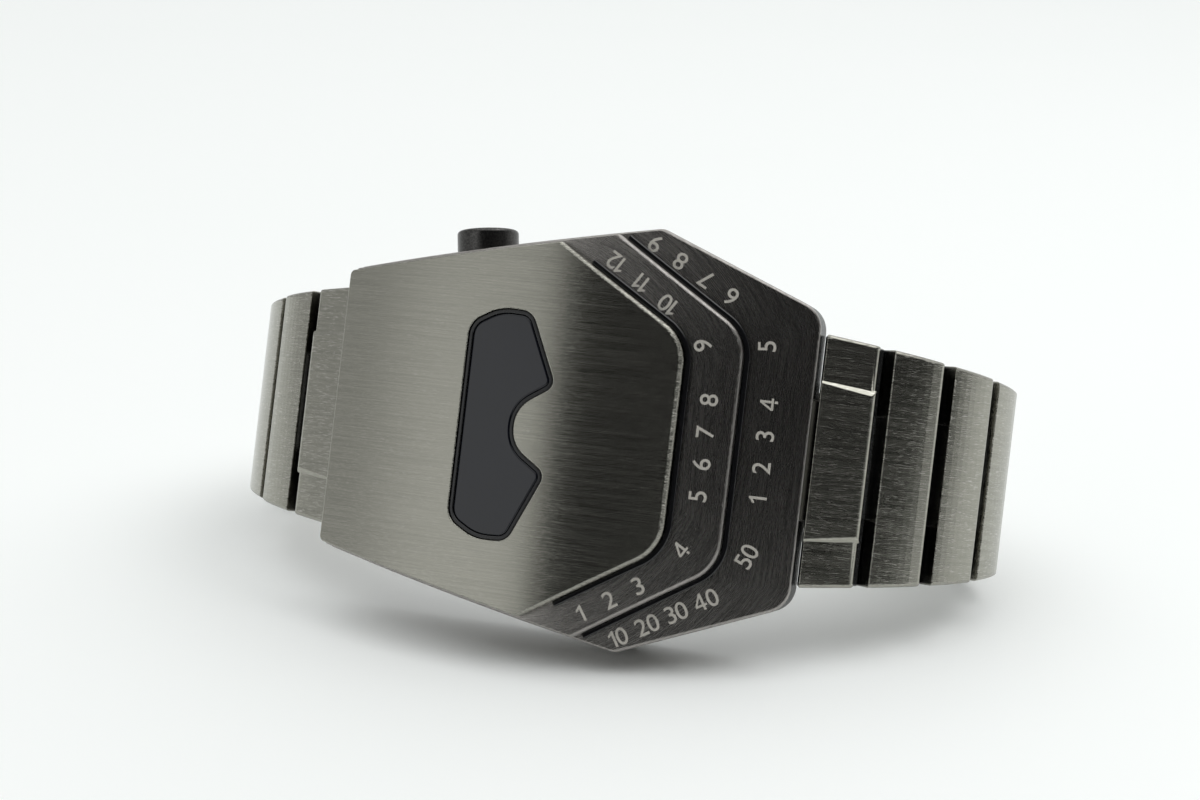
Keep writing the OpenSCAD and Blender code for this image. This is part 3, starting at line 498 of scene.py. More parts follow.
def newGroup(name, inputs, outputs, kind="ShaderNodeTree"):
    tree = bpy.data.node_groups.new(name, kind)
    for title, socket, default in inputs:
        item = tree.interface.new_socket(title, in_out="INPUT", socket_type="NodeSocket" + socket)
        if default is not None:
            item.default_value = default
    for title, socket in outputs:
        tree.interface.new_socket(title, in_out="OUTPUT", socket_type="NodeSocket" + socket)
    return tree, tree.nodes.new("NodeGroupInput"), tree.nodes.new("NodeGroupOutput")


grainShape = {
    "streak": (3.0, 2.0, 0.0, 4.0, 0.7),  # wider, longer, seed, detail, roughness
    "fine": (1.0, 1.0, 7.3, 2.0, 0.6),
    "sparkle": (0.8, 0.12, 21.7, 1.0, 0.5),
    "sparkleRange": (0.55, 0.75),
    "toneRange": (0.3, 0.7),
}


def makeGrainGroup():
    # strokes of a brushed finish: Across runs over the strokes, Along follows them
    tree, start, end = newGroup("brushedGrain", [
        ("Across", "Float", 0.0), ("Along", "Float", 0.0), ("Line Width", "Float", 0.08),
        ("Line Length", "Float", 4.0), ("Seed", "Float", 0.0),
    ], [("Streak", "Float"), ("Fine", "Float"), ("Sparkle", "Float")])
    s = start.outputs

    def strokes(wider, longer, seed, detail, roughness):
        place = addNode(tree, "ShaderNodeCombineXYZ", {
            "X": mathNode(tree, "DIVIDE", s["Across"], mathNode(tree, "MULTIPLY", s["Line Width"], wider)),
            "Y": mathNode(tree, "DIVIDE", s["Along"], mathNode(tree, "MULTIPLY", s["Line Length"], longer)),
            "Z": mathNode(tree, "ADD", s["Seed"], seed)})
        return noise(tree, place.outputs[0], 1.0, detail, Roughness=roughness)

    sparkle = ramp(tree, strokes(*grainShape["sparkle"]), *grainShape["sparkleRange"])
    for key, value in (("Streak", strokes(*grainShape["streak"])),
            ("Fine", strokes(*grainShape["fine"])), ("Sparkle", sparkle)):
        tree.links.new(value, end.inputs[key])
    return tree


def makeSpeckGroup():
    # scattered specks of dust and tiny nicks
    tree, start, end = newGroup("dustSpecks", [
        ("Position", "Vector", None), ("Spacing", "Float", 2.0), ("Size", "Float", 0.04)],
        [("Speck", "Float")])
    s = start.outputs
    scaled = addNode(tree, "ShaderNodeVectorMath", {0: s["Position"],
        "Scale": mathNode(tree, "DIVIDE", 1 / mm, s["Spacing"])}, operation="SCALE")
    cells = addNode(tree, "ShaderNodeTexVoronoi", {"Vector": scaled.outputs[0], "Scale": 1.0})
    near = mathNode(tree, "LESS_THAN", cells.outputs["Distance"],
        mathNode(tree, "DIVIDE", s["Size"], s["Spacing"]))
    tree.links.new(near, end.inputs["Speck"])
    return tree


grainGroup = makeGrainGroup()
speckGroup = makeSpeckGroup()


def specks(tree, spacing, size):
    return addNode(tree, "ShaderNodeGroup", {"Position": objectPlace(tree), "Spacing": spacing,
        "Size": size}, node_tree=speckGroup).outputs[0]


def newMaterial(name, roughness, metallic=0.0, **sockets):
    material = bpy.data.materials.new(name)
    material.use_nodes = True
    tree = material.node_tree
    tree.nodes.clear()
    shader = addNode(tree, "ShaderNodeBsdfPrincipled", {"Metallic": metallic, "Roughness": roughness})
    for key, value in sockets.items():
        shader.inputs[key.replace("_", " ")].default_value = value
    addNode(tree, "ShaderNodeOutputMaterial", {"Surface": shader.outputs[0]})
    return material, tree, shader


def spreadRound(tree, value, middle, spread):
    return mathNode(tree, "MULTIPLY_ADD", value, spread, middle - spread / 2)


def paint(tree, shader, body, rough):
    tree.links.new(body, shader.inputs["Base Color"])
    tree.links.new(rough, shader.inputs["Roughness"])


def grey(value, warm=0.0):
    return (value * (1 + warm), value, value * (1 - warm), 1.0)


def brushedSteel(name, look):
    # brushed metal whose strokes follow the piece's own "brush" coordinates
    material, tree, shader = newMaterial(name, look["roughness"], 1.0,
        Anisotropic=look["anisotropy"])
    uv = addNode(tree, "ShaderNodeUVMap", uv_map="brush")
    parts = addNode(tree, "ShaderNodeSeparateXYZ", {0: uv.outputs[0]})
    grain = addNode(tree, "ShaderNodeGroup", {"Across": parts.outputs[0], "Along": parts.outputs[1],
        **{key: look[key] for key in ("Line Width", "Line Length", "Seed")}}, node_tree=grainGroup)
    speck = specks(tree, look["speckSpacing"], look["speckSize"])
    rimHighlight = addNode(tree, "ShaderNodeAttribute", attribute_name="edge").outputs["Fac"]
    paintedShade = addNode(tree, "ShaderNodeAttribute", attribute_name="groove").outputs["Fac"]
    tone = ramp(tree, grain.outputs["Streak"], *grainShape["toneRange"])
    body = mixColour(tree, tone, look["dark"], look["light"])
    body = mixColour(tree, mathNode(tree, "MULTIPLY", grain.outputs["Sparkle"], look["sparkle"]), body,
        look["glint"])
    # painted highlight: the rims get a lighter colour
    body = mixColour(tree, mathNode(tree, "MULTIPLY", rimHighlight, look["rimHighlightAmount"]), body, look["rimHighlight"])
    body = mixColour(tree, mathNode(tree, "MULTIPLY", speck, look["speckCover"]), body, look["speck"])
    # painted shade: the groove mask darkens the colour in the grooves between links and on the case's ends
    body = mixColour(tree, paintedShade, body, look["paintedShade"])
    rough = spreadRound(tree, grain.outputs["Streak"], look["roughness"], look["roughSpread"])
    paint(tree, shader, body, mathNode(tree, "MULTIPLY_ADD", rimHighlight, look["edgeRough"], rough))
    pits = mathNode(tree, "MULTIPLY_ADD", rimHighlight, look["edgeGrain"], look["pits"])
    height = mathNode(tree, "MULTIPLY_ADD", grain.outputs["Sparkle"], pits, grain.outputs["Fine"])
    addBump(tree, shader, height, look["bump"], look["bumpDepth"])
    tangent = addNode(tree, "ShaderNodeTangent", direction_type="UV_MAP", uv_map="brush")
    tree.links.new(tangent.outputs[0], shader.inputs["Tangent"])
    return material


coatedLook = {
    "dark": (0.28, 0.277, 0.241, 1),
    "light": (0.345, 0.338, 0.295, 1),
    # colour of the painted shade in the grooves
    "paintedShade": grey(0.12),
    "glint": grey(0.55, 0.05),
    # lighter colour of the rims' painted highlight
    "rimHighlight": grey(0.34, 0.05),
    "roughness": 0.19,
    "roughSpread": 0.16,
    "anisotropy": 0.75,
    "Line Width": 0.05,
    "Line Length": 5.0,
    "Seed": 1.0,
    "sparkle": 0.3,
    "rimHighlightAmount": 0.15,
    "edgeRough": 0.08,
    "edgeGrain": 6.0,
    "pits": 0.3,
    "bump": 0.55,
    "bumpDepth": 0.000008,
    "speckSpacing": 3.0,
    "speckSize": 0.03,
    "speckCover": 0.8,
    "speck": (0.7, 0.68, 0.64, 1),
}
coverSteel = brushedSteel("coatedSteelCover", coatedLook)
# the painted shade on the case's ends is near black
tierSteel = brushedSteel("coatedSteelSteps", {**coatedLook, "Seed": 4.0, "Line Length": 2.5,
    "sparkle": 0.4, "dark": grey(0.24, 0.05), "light": grey(0.38, 0.05), "roughness": 0.27,
    "roughSpread": 0.1, "paintedShade": grey(0.03)})
linkSteel = brushedSteel("coatedSteelLinks", {**coatedLook, "Seed": 9.0, "Line Length": 8.0,
    "sparkle": 0.6, "Line Width": 0.11, "roughness": 0.2, "bump": 0.7,
    "bumpDepth": 0.000007, "pits": 0.7})


surfaceShape = {
    "grainLow": 0.35,
    "grainHigh": 0.65,
    "cloudScale": 400.0,
    "cloudSpread": 0.2,
    "satinBump": 0.25,
    "bumpDepth": 0.00002,
    "speckSpacing": 4.0,
    "speckSize": 0.03,
    "speckCover": 0.4,
    "speck": grey(0.5),
}


def satinSteel(name, dark, light, roughness, grainScale):
    # finely turned or ground metal of the small parts, grain in the piece's own place
    look = surfaceShape
    material, tree, shader = newMaterial(name, roughness, 1.0)
    place = objectPlace(tree)
    mapped = addNode(tree, "ShaderNodeMapping", {"Vector": place, "Scale": grainScale})
    grain = noise(tree, mapped.outputs[0], 1.0, 3.0)
    clouds = noise(tree, place, look["cloudScale"], 3.0)
    body = mixColour(tree, ramp(tree, grain, look["grainLow"], look["grainHigh"]), dark, light)
    paint(tree, shader, body, spreadRound(tree, clouds, roughness, look["cloudSpread"]))
    addBump(tree, shader, grain, look["satinBump"], look["bumpDepth"])
    return material


def moulded(name, dark, light, roughness, spread, scale, bump, ior=1.5):
    # plastics, glass and rubber with faint mottling and a fine surface
    look = surfaceShape
    material, tree, shader = newMaterial(name, roughness, 0.0, IOR=ior)
    mottle = noise(tree, objectPlace(tree), scale, 4.0)
    speck = specks(tree, look["speckSpacing"], look["speckSize"])
    body = mixColour(tree, mottle, dark, light)
    body = mixColour(tree, mathNode(tree, "MULTIPLY", speck, look["speckCover"]), body, look["speck"])
    paint(tree, shader, body, spreadRound(tree, mottle, roughness, spread))
    addBump(tree, shader, mottle, bump, look["bumpDepth"])
    return material


satinLooks = {  # dark, light, roughness, grain scale
    "bareSteel": (grey(0.42, 0.02), grey(0.58, 0.02), 0.3, (9000, 1200, 1200)),
    "backSteel": (grey(0.34, 0.02), grey(0.48, 0.02), 0.34, (900, 9000, 9000)),
    "claspSteel": (grey(0.16, 0.03), grey(0.25, 0.04), 0.32, (500, 9000, 9000)),
    "pusherSteel": (grey(0.05, 0.02), grey(0.09, 0.03), 0.3, (6000, 6000, 6000)),
    "contactMetal": ((0.62, 0.45, 0.2, 1), (0.75, 0.58, 0.28, 1), 0.28, (4000, 1500, 4000)),
}
mouldedLooks = {  # dark, light, roughness, its spread, mottling scale, bump, index of refraction
    "smokedLens": ((0.003, 0.004, 0.007, 1), (0.005, 0.006, 0.011, 1), 0.08, 0.03, 300.0, 0.02, 1.52),
    "smokedStrip": ((0.004, 0.004, 0.005, 1), (0.008, 0.008, 0.009, 1), 0.16, 0.06, 900.0, 0.05),
    "blackRubber": ((0.006, 0.006, 0.007, 1), (0.012, 0.012, 0.013, 1), 0.28, 0.1, 1500.0, 0.2),
    "lightEmitter": ((0.72, 0.68, 0.55, 1), (0.85, 0.82, 0.7, 1), 0.4, 0.1, 2500.0, 0.1),
    "displayBlack": ((0.01, 0.01, 0.012, 1), (0.02, 0.02, 0.022, 1), 0.2, 0.08, 700.0, 0.05),
    "boardGreen": ((0.015, 0.09, 0.03, 1), (0.03, 0.15, 0.05, 1), 0.35, 0.15, 900.0, 0.2),
    "chipBlack": (grey(0.012), grey(0.03), 0.55, 0.2, 2500.0, 0.4),
}
finishes = {name: satinSteel(name, *look) for name, look in satinLooks.items()}
for name, look in mouldedLooks.items():
    finishes[name] = moulded(name, *look)

markLook = {
    "dark": (0.42, 0.39, 0.35, 1),
    "light": (0.62, 0.6, 0.55, 1),
    "roughness": 0.55,
    "roughSpread": 0.2,
    "metallic": 0.35,
    "scale": 9000.0,
}


def printedMark(name, look):
    # etched numerals: pale, slightly uneven metal
    material, tree, shader = newMaterial(name, look["roughness"], look["metallic"])
    mottle = noise(tree, objectPlace(tree), look["scale"], 2.0)
    body = mixColour(tree, mottle, look["dark"], look["light"])
    paint(tree, shader, body, spreadRound(tree, mottle, look["roughness"], look["roughSpread"]))
    return material


markSilver = printedMark("markSilver", markLook)
print("materials ready")


caseCorners = bothSides([
    (-caseShape["length"] / 2, caseShape["endWidth"] / 2, caseShape["endRadius"]),
    (caseShape["shoulderX"], caseShape["width"] / 2, caseShape["shoulderRadius"]),
    (caseShape["length"] / 2, caseShape["endWidth"] / 2, caseShape["snoutRadius"]),
])
hourCorners = stepCorners(hourShape)
coverCorners = stepCorners(coverShape)
windowMiddle = (windowShape["backX"] + windowShape["lobeX"]) / 2
windowCorners = bothSides([
    (windowShape["backX"], windowShape["backZ"], windowShape["backRadius"]),
    *((windowMiddle + x, windowShape["endZ"] + z, r) for x, z, r in windowShape["crests"]),
    (windowShape["lobeX"], windowShape["lobeZ"], windowShape["lobeRadius"]),
    (windowShape["notchX"], windowShape["lobeZ"] - windowShape["notchDrop"], windowShape["notchRadius"]),
])
lensCorners = insetCorners(windowCorners, windowShape["gasketWidth"])
lightCorners = insetCorners(lensCorners, windowShape["ledge"])
hourDepth = coverShape["thickness"]
minuteDepth = hourDepth + hourShape["thickness"]


def evenRims(corners, rim):
    return corners, [rim] * len(corners)


def frontPiece(name, mesh, node, material, brush=None, groove=None):
    finishPiece(name, mesh, "case", [node], material, brush, groove, curvedFront=True)


topCover = curvedPlate((coverCorners, coverShape["rims"]), [evenRims(windowCorners, -windowShape["rim"])],
    0.0, hourDepth - seatGap)
frontPiece("cover_top", topCover, "top_cover", coverSteel, brushAlongX)

hourPlate = curvedPlate((hourCorners, hourShape["rims"]), [evenRims(lightCorners, 0)], hourDepth,
    minuteDepth - seatGap)
frontPiece("step_hours", hourPlate, "hour_tier", tierSteel, brushRound)

pusherShape = {
    "x": -10.8,
    "y": 7.0,
    "lean": 8.0,
    "bore": 3.3,
    "boreDepth": 2.2,
    "stemBore": 1.32,
    "stemDepth": 7.5,
}
hingeShape = {
    "x": 23.35,
    "y": 9.0,
    "reach": 1.55,
    "half": 6.15,
    "tip": 0.44,
    "tipHalf": 7.75,
    "cutEndX": 5.0,
    "cutEndY": 20.0,
}
# where the painted shade on the case's flat ends starts
grooveShape = {"start": 0.45, "slack": 0.05, "facing": 0.45}
endTopY = frontY(caseShape["length"] / 2, minuteDepth)


def makeCase():
    body = curvedPlate((caseCorners, caseShape["topRims"]), [], minuteDepth, caseShape["depth"],
        flatY=caseShape["depth"])
    bm = bmesh.new()
    bm.from_mesh(body)
    # an edge where the painted shade on the case's ends begins
    slicePlane(bm, (0, endTopY + grooveShape["start"], 0), (0, 1, 0))
    body = meshFrom(bm)
    length, width, r = caseShape["cavity"]
    front = frontY(0, caseShape["ceilingDepth"])
    pusherAxis = Matrix.Translation((pusherShape["x"], pusherShape["y"], sideZ(pusherShape["x"]))) @ (
        Matrix.Rotation(math.radians(-pusherShape["lean"]), 4, "Y"))
    steps = [
        ("DIFFERENCE", prism(boxCorners(length, width, r), front + caseShape["cavityDrop"],
            caseShape["cavityEnd"])),
        ("DIFFERENCE", prism(lightCorners, caseShape["cutStart"], caseShape["lightEnd"])),
        ("DIFFERENCE", rod(pusherShape["bore"], -pusherShape["boreDepth"], caseShape["boreEnd"],
            pusherAxis, sidesOf["pusher"])),
        ("DIFFERENCE", rod(pusherShape["stemBore"], -pusherShape["stemDepth"], 0.0, pusherAxis)),
    ]
    for side in (-1, 1):
        x0 = side * (hingeShape["x"] - hingeShape["reach"])
        x1 = side * (hingeShape["x"] + hingeShape["cutEndX"])
        steps.append(("DIFFERENCE", block(
            (min(x0, x1), hingeShape["y"] - hingeShape["reach"], -hingeShape["half"]),
            (max(x0, x1), hingeShape["cutEndY"], hingeShape["half"]))))
        steps.append(("DIFFERENCE", rod(hingeShape["tip"], -hingeShape["tipHalf"], hingeShape["tipHalf"],
            Matrix.Translation((side * hingeShape["x"], hingeShape["y"], 0)), sidesOf["pin"])))
    return combined(body, steps)


def endGrooveShade(p, n):
    # painted shade: the case's flat ends are darkened where they face the end links
    paintedShade = p.y > endTopY + grooveShape["start"] - grooveShape["slack"]
    return 1.0 if paintedShade and abs(n.x) > grooveShape["facing"] else 0.0


frontPiece("case_shell", makeCase(), "case_body", tierSteel, brushRound, endGrooveShade)

lensPlate = curvedPlate(evenRims(insetCorners(lensCorners, seatGap), windowShape["lensRim"]), [],
    windowShape["lensDrop"], hourDepth - seatGap)
frontPiece("window_lens", lensPlate, "display_lens", finishes["smokedLens"])

gasketPlate = curvedPlate(evenRims(insetCorners(windowCorners, seatGap), windowShape["gasketRim"]),
    [evenRims(lensCorners, -windowShape["gasketInnerRim"])], windowShape["gasketDrop"],
    hourDepth - seatGap)
frontPiece("window_gasket", gasketPlate, "lens_gasket", finishes["blackRubber"])
print("case, steps and window ready")


def newTree(name, inputs):
    tree, start, end = newGroup(name, [("Geometry", "Geometry", None)] + inputs,
        [("Geometry", "Geometry")], "GeometryNodeTree")
    return tree, start.outputs, end


def positionParts(tree):
    place = addNode(tree, "GeometryNodeInputPosition").outputs[0]
    return addNode(tree, "ShaderNodeSeparateXYZ", {0: place}).outputs


def setPosition(tree, geometrySocket, key, value):
    return addNode(tree, "GeometryNodeSetPosition", {"Geometry": geometrySocket, key: value}).outputs[0]


def bentBack(tree, geometrySocket, radius):
    # flat X, Y, -Z become the watch's X, Z and depth behind the curved front
    x, y, z = positionParts(tree)
    inner = mathNode(tree, "ADD", radius, z)
    root = mathNode(tree, "SQRT", mathNode(tree, "SUBTRACT", mathNode(tree, "MULTIPLY", inner, inner),
        mathNode(tree, "MULTIPLY", x, x)))
    bent = addNode(tree, "ShaderNodeCombineXYZ", {0: x, 1: mathNode(tree, "SUBTRACT", radius, root), 2: y})
    return setPosition(tree, geometrySocket, "Position", bent.outputs[0])


def closeTree(tree, end, geometrySocket, materialSocket):
    real = addNode(tree, "GeometryNodeRealizeInstances", {"Geometry": geometrySocket})
    painted = addNode(tree, "GeometryNodeSetMaterial", {"Geometry": real.outputs[0],
        "Material": materialSocket})
    tree.links.new(painted.outputs[0], end.inputs[0])


def runTree(tree, mesh, values):
    # the tree's result on a mesh, as a plain mesh
    obj = addObject("work", mesh)
    modifier = obj.modifiers.new("nodes", "NODES")
    modifier.node_group = tree
    for item in tree.interface.items_tree:
        if item.item_type == "SOCKET" and item.in_out == "INPUT" and item.name in values:
            modifier[item.identifier] = values[item.name]
    result = evaluated(obj)
    obj.modifiers.remove(modifier)
    bpy.data.objects.remove(obj)
    return result


stripShape = {
    "width": 0.56,
    "height": 0.43,
    "round": 0.16,
    "roundSteps": 4,
    "hourStart": 2.3,
    "minuteStart": 5.3,
    "arcStep": 4.0,
    "step": 0.8,
    "leastStep": 0.05,
}


def makeStripTree():
    tree, s, end = newTree("lightStrip", [("Width", "Float", stripShape["width"]),
        ("Height", "Float", stripShape["height"]), ("Round", "Float", stripShape["round"]),
        ("Front Radius", "Float", caseShape["frontRadius"]), ("Material", "Material", None)])
    path = addNode(tree, "GeometryNodeMeshToCurve", {0: s["Geometry"]})
    up = addNode(tree, "GeometryNodeSetCurveNormal", {0: path.outputs[0]}, mode="Z_UP")
    section = addNode(tree, "GeometryNodeCurvePrimitiveQuadrilateral", {"Width": s["Width"],
        "Height": s["Height"]})
    soft = addNode(tree, "GeometryNodeFilletCurve", {"Curve": section.outputs[0], "Radius": s["Round"],
        "Count": stripShape["roundSteps"], "Limit Radius": True}, mode="POLY")
    swept = addNode(tree, "GeometryNodeCurveToMesh", {"Curve": up.outputs[0],
        "Profile Curve": soft.outputs[0], "Fill Caps": True})
    closeTree(tree, end, bentBack(tree, swept.outputs[0], s["Front Radius"]), s["Material"])
    return tree


def stripPath(corners, start, depth):
    # middle line of a strip along the foot of a step's nose, as a chain of edges
    outline = insetCorners(corners, -stripShape["width"] / 2 - seatGap)
    points = ringPoints(outline, [0] * len(corners), 0, 0, stripShape["arcStep"])
    chain = [p for p in points if p[0] > start]
    cut = [i for i, p in enumerate(points) if p[0] > start]
    before = points[cut[0] - 1]
    after = points[(cut[-1] + 1) % len(points)]
    ends = []
    for outside, inside in ((before, chain[0]), (after, chain[-1])):
        share = (start - outside[0]) / (inside[0] - outside[0])
        ends.append((start, outside[1] + (inside[1] - outside[1]) * share))
    line = [ends[0]] + [(p[0], p[1]) for p in chain] + [ends[1]]
    fine = []
    for a, b in zip(line, line[1:]):
        parts = max(1, round(math.dist(a, b) / stripShape["step"]))
        fine += [(a[0] + (b[0] - a[0]) * k / parts, a[1] + (b[1] - a[1]) * k / parts)
            for k in range(parts)]
    fine.append(line[-1])
    clean = [fine[0]]
    for p in fine[1:]:
        if math.dist(p, clean[-1]) > stripShape["leastStep"]:
            clean.append(p)
    mesh = bpy.data.meshes.new("path")
    mesh.from_pydata([(x, z, -(depth - stripShape["height"] / 2)) for x, z in clean],
        [(k, k + 1) for k in range(len(clean) - 1)], [])
    return mesh


stripTree = makeStripTree()
for name, node, corners, depth, start in (
        ("strip_hours", "hour_light_strip", coverCorners, hourDepth, "hourStart"),
        ("strip_minutes", "minute_light_strip", hourCorners, minuteDepth, "minuteStart")):
    path = stripPath(corners, stripShape[start], depth - seatGap)
    strip = runTree(stripTree, path, {"Width": stripShape["width"], "Height": stripShape["height"],
        "Round": stripShape["round"], "Front Radius": caseShape["frontRadius"],
        "Material": finishes["smokedStrip"]})
    finishPiece(name, strip, "case", [node], finishes["smokedStrip"])
print("light strips ready")


numeralShape = {
    "size": 2.5,
    "bolder": 0.015,
    "stretch": 1.04,
    "digitGap": 0.12,
    "thickness": 0.03,
    "proud": 0.015,
    "height": 1.72,
}
ownDigits = {
    # outlines of the one, which has a flag, and of the four, in shares of the height
    "1": [[(0, 0), (0.15, 0), (0.15, 1), (0.06, 1), (-0.09, 0.87), (-0.22, 0.78), (-0.22, 0.65),
        (-0.09, 0.71), (0, 0.78)]],
    "4": [[(0.4, 0), (0.54, 0), (0.54, 0.23), (0.68, 0.23), (0.68, 0.36), (0.54, 0.36), (0.54, 1),
        (0.41, 1), (0, 0.37), (0, 0.23), (0.4, 0.23)], [(0.4, 0.36), (0.13, 0.36), (0.4, 0.77)]],
}


def digitMesh(digit):
    if digit in ownDigits:
        h = numeralShape["height"]
        outlines = [[Vector((x * h, y * h, 0)) for x, y in ring] for ring in ownDigits[digit]]
        mesh = bpy.data.meshes.new("digit")
        mesh.from_pydata([p for ring in outlines for p in ring], [], geometry.tessellate_polygon(outlines))
        return mesh
    curve = bpy.data.curves.new("digit", "FONT")
    curve.body = digit
    curve.size = numeralShape["size"]
    curve.offset = numeralShape["bolder"]
    obj = addObject("digit", curve)
    mesh = evaluated(obj)
    bpy.data.objects.remove(obj)
    return mesh


def numeralMesh(text):
    # the digits side by side, flat, with their middle at the origin
    bm = bmesh.new()
    cursor = 0.0  # where the next digit starts
    for digit in text:
        mesh = digitMesh(digit)
        shift = cursor - min(v.co.x for v in mesh.vertices)
        mesh.transform(Matrix.Translation((shift, 0, 0)))
        cursor = max(v.co.x for v in mesh.vertices) + numeralShape["digitGap"]
        bm.from_mesh(mesh)
    bmesh.ops.remove_doubles(bm, verts=bm.verts[:], dist=mergeGap)
    bm.normal_update()
    bmesh.ops.reverse_faces(bm, faces=[face for face in bm.faces if face.normal.z < 0])
    xs = [v.co.x for v in bm.verts]
    ys = [v.co.y for v in bm.verts]
    middle = ((min(xs) + max(xs)) / 2, (min(ys) + max(ys)) / 2)
    stretch = numeralShape["stretch"] if len(text) == 1 else 1.0
    for v in bm.verts:
        v.co.x = (v.co.x - middle[0]) * stretch
        v.co.y -= middle[1]
    return toMesh(bm, "numeral")


def makeNumeralTree():
    tree, s, end = newTree("numeral", [("Thickness", "Float", numeralShape["thickness"]),
        ("Place", "Vector", None), ("Turn", "Float", 0.0),
        ("Front Radius", "Float", caseShape["frontRadius"]), ("Material", "Material", None)])
    raised = addNode(tree, "GeometryNodeExtrudeMesh", {"Mesh": s["Geometry"],
        "Offset Scale": s["Thickness"], "Individual": False})
    under = addNode(tree, "GeometryNodeFlipFaces", {0: s["Geometry"]})
    both = addNode(tree, "GeometryNodeJoinGeometry")
    tree.links.new(raised.outputs[0], both.inputs[0])
    tree.links.new(under.outputs[0], both.inputs[0])
    merged = addNode(tree, "GeometryNodeMergeByDistance", {"Geometry": both.outputs[0],
        "Distance": 10 * mergeGap})
    turn = addNode(tree, "ShaderNodeCombineXYZ", {2: s["Turn"]})
    placed = addNode(tree, "GeometryNodeTransform", {"Geometry": merged.outputs[0],
        "Translation": s["Place"], "Rotation": turn.outputs[0]})
    closeTree(tree, end, bentBack(tree, placed.outputs[0], s["Front Radius"]), s["Material"])
    return tree


numeralTree = makeNumeralTree()
hourNumerals = {
    "flat": ("5", "6", "7", "8"),
    "flatX": 15.2,
    "flatMiddle": 0.0,
    "pitch": 3.2,
    "lowCorner": ("4", 14.2, -10.27, 58.0),
    "highCorner": ("9", 14.0, 10.1, 104.0),
    "lowSlant": (("3", "2", "1"), 10.44, -14.33, 3.2, 33.0),
    "highSlant": (("10", "11", "12"), 10.15, 13.7, 3.36, 33.0),
}
minuteNumerals = {
    "flat": ("1", "2", "3", "4"),
    "flatX": 20.7,
    "flatMiddle": 0.3,
    "pitch": 3.2,
    "lowCorner": ("50", 20.3, -10.2, 66.0),
    "highCorner": ("5", 19.9, 10.8, 96.0),
    "lowSlant": (("40", "30", "20", "10"), 16.9, -15.0, 3.14, 30.5),
    "highSlant": (("6", "7", "8", "9"), 15.9, 15.3, 3.05, 29.0),
}


def numeralPlaces(look):
    # text, x, z and turn of each numeral: along the flat nose, at its corners and down both slants
    places = []
    upright = 90.0
    middle = (len(look["flat"]) - 1) / 2
    for k, text in enumerate(look["flat"]):
        places.append((text, look["flatX"], look["flatMiddle"] + (k - middle) * look["pitch"], upright))
    places += [look["lowCorner"], look["highCorner"]]
    for key, sign in (("lowSlant", -1), ("highSlant", 1)):
        texts, x, z, pitch, slope = look[key]
        angle = math.radians(slope)
        for k, text in enumerate(texts):
            places.append((text, x - k * pitch * math.cos(angle), z + sign * k * pitch * math.sin(angle),
                upright + sign * (upright - slope)))
    return places


def joined(meshes):
    bm = bmesh.new()
    for mesh in meshes:
        bm.from_mesh(mesh)
    return toMesh(bm)


for name, look, depth in (("numerals_hours", hourNumerals, hourDepth),
        ("numerals_minutes", minuteNumerals, minuteDepth)):
    marks = []
    for text, x, z, turn in numeralPlaces(look):
        marks.append(runTree(numeralTree, numeralMesh(text), {"Thickness": numeralShape["thickness"],
            "Place": (x, z, -depth - numeralShape["thickness"] + numeralShape["proud"]),
            "Turn": math.radians(turn), "Front Radius": caseShape["frontRadius"],
            "Material": markSilver}))
    finishPiece(name, joined(marks), "case", [], markSilver)
print("numerals ready")


linkShape = {
    "pitch": 7.45,
    "endPitch": 6.35,
    "outer": 1.9,
    "inner": 1.3,
    "crown": 0.28,
    "lastCrown": 0.2,
    "crownSteps": 7,
    "crownEnd": 1.0,
    "gap": 0.15,
    "noseReach": 0.9,
    "noseRound": 0.8,
    "startRound": 0.12,
    "edgeRound": 0.1,
    "cutRound": 0.3,
    "lipTop": 0.4,
    "lipPush": 0.05,
    "lipRound": 0.5,
    "backAngles": (28, 14),
    "tongueHalf": 5.2,
    "tongueRadius": 1.1,
    "webLength": 0.7,
    "webOuter": 0.7,
    "webInner": 0.95,
    "nearBore": 0.54,
    "farBore": 0.52,
    "boreHalf": 20,
    "sideGap": 0.15,
    "halfAtCase": 12.95,
    "halfAtClasp": 9.0,
    "taper": 0.1,
    "tilts": (24, 39, 54, 75, 107, 137, 162),
    "masterHalf": 9.0,
    "fixedHalf": 6.0,
    "outerRim": 0.45,
    "innerRim": 0.2,
    "rimFrom": 0.3,
    "rimSteps": 4,
    "arcStep": 12.0,
}
bodyStart = linkShape["outer"] + linkShape["gap"]


def halfAt(reach):
    return max(linkShape["halfAtClasp"], linkShape["halfAtCase"] - linkShape["taper"] * reach)


def reachOf(i):
    return 0 if i == 0 else linkShape["endPitch"] + (i - 1) * linkShape["pitch"]


def pinPlace(i):
    # pin at the case's end of link i on the 6 o'clock side, in the watch's frame
    name = "end_hinge_6" if i == 0 else f"hinge_6_{i}"
    return rowToWatch @ Vector(joints[name]["pos_m"])


def linkFrame(side, i):
    # link i's own frame: X along the link, Y towards the wrist, Z along its pins
    sign = 1 if side == 6 else -1
    pin = pinPlace(i)
    tilt = Matrix.Rotation(math.radians(linkShape["tilts"][i]), 4, "Z")
    placed = Matrix.Translation((pin.x, pin.y, 0)) @ tilt
    return Matrix.Diagonal((sign, 1, 1, 1)) @ placed


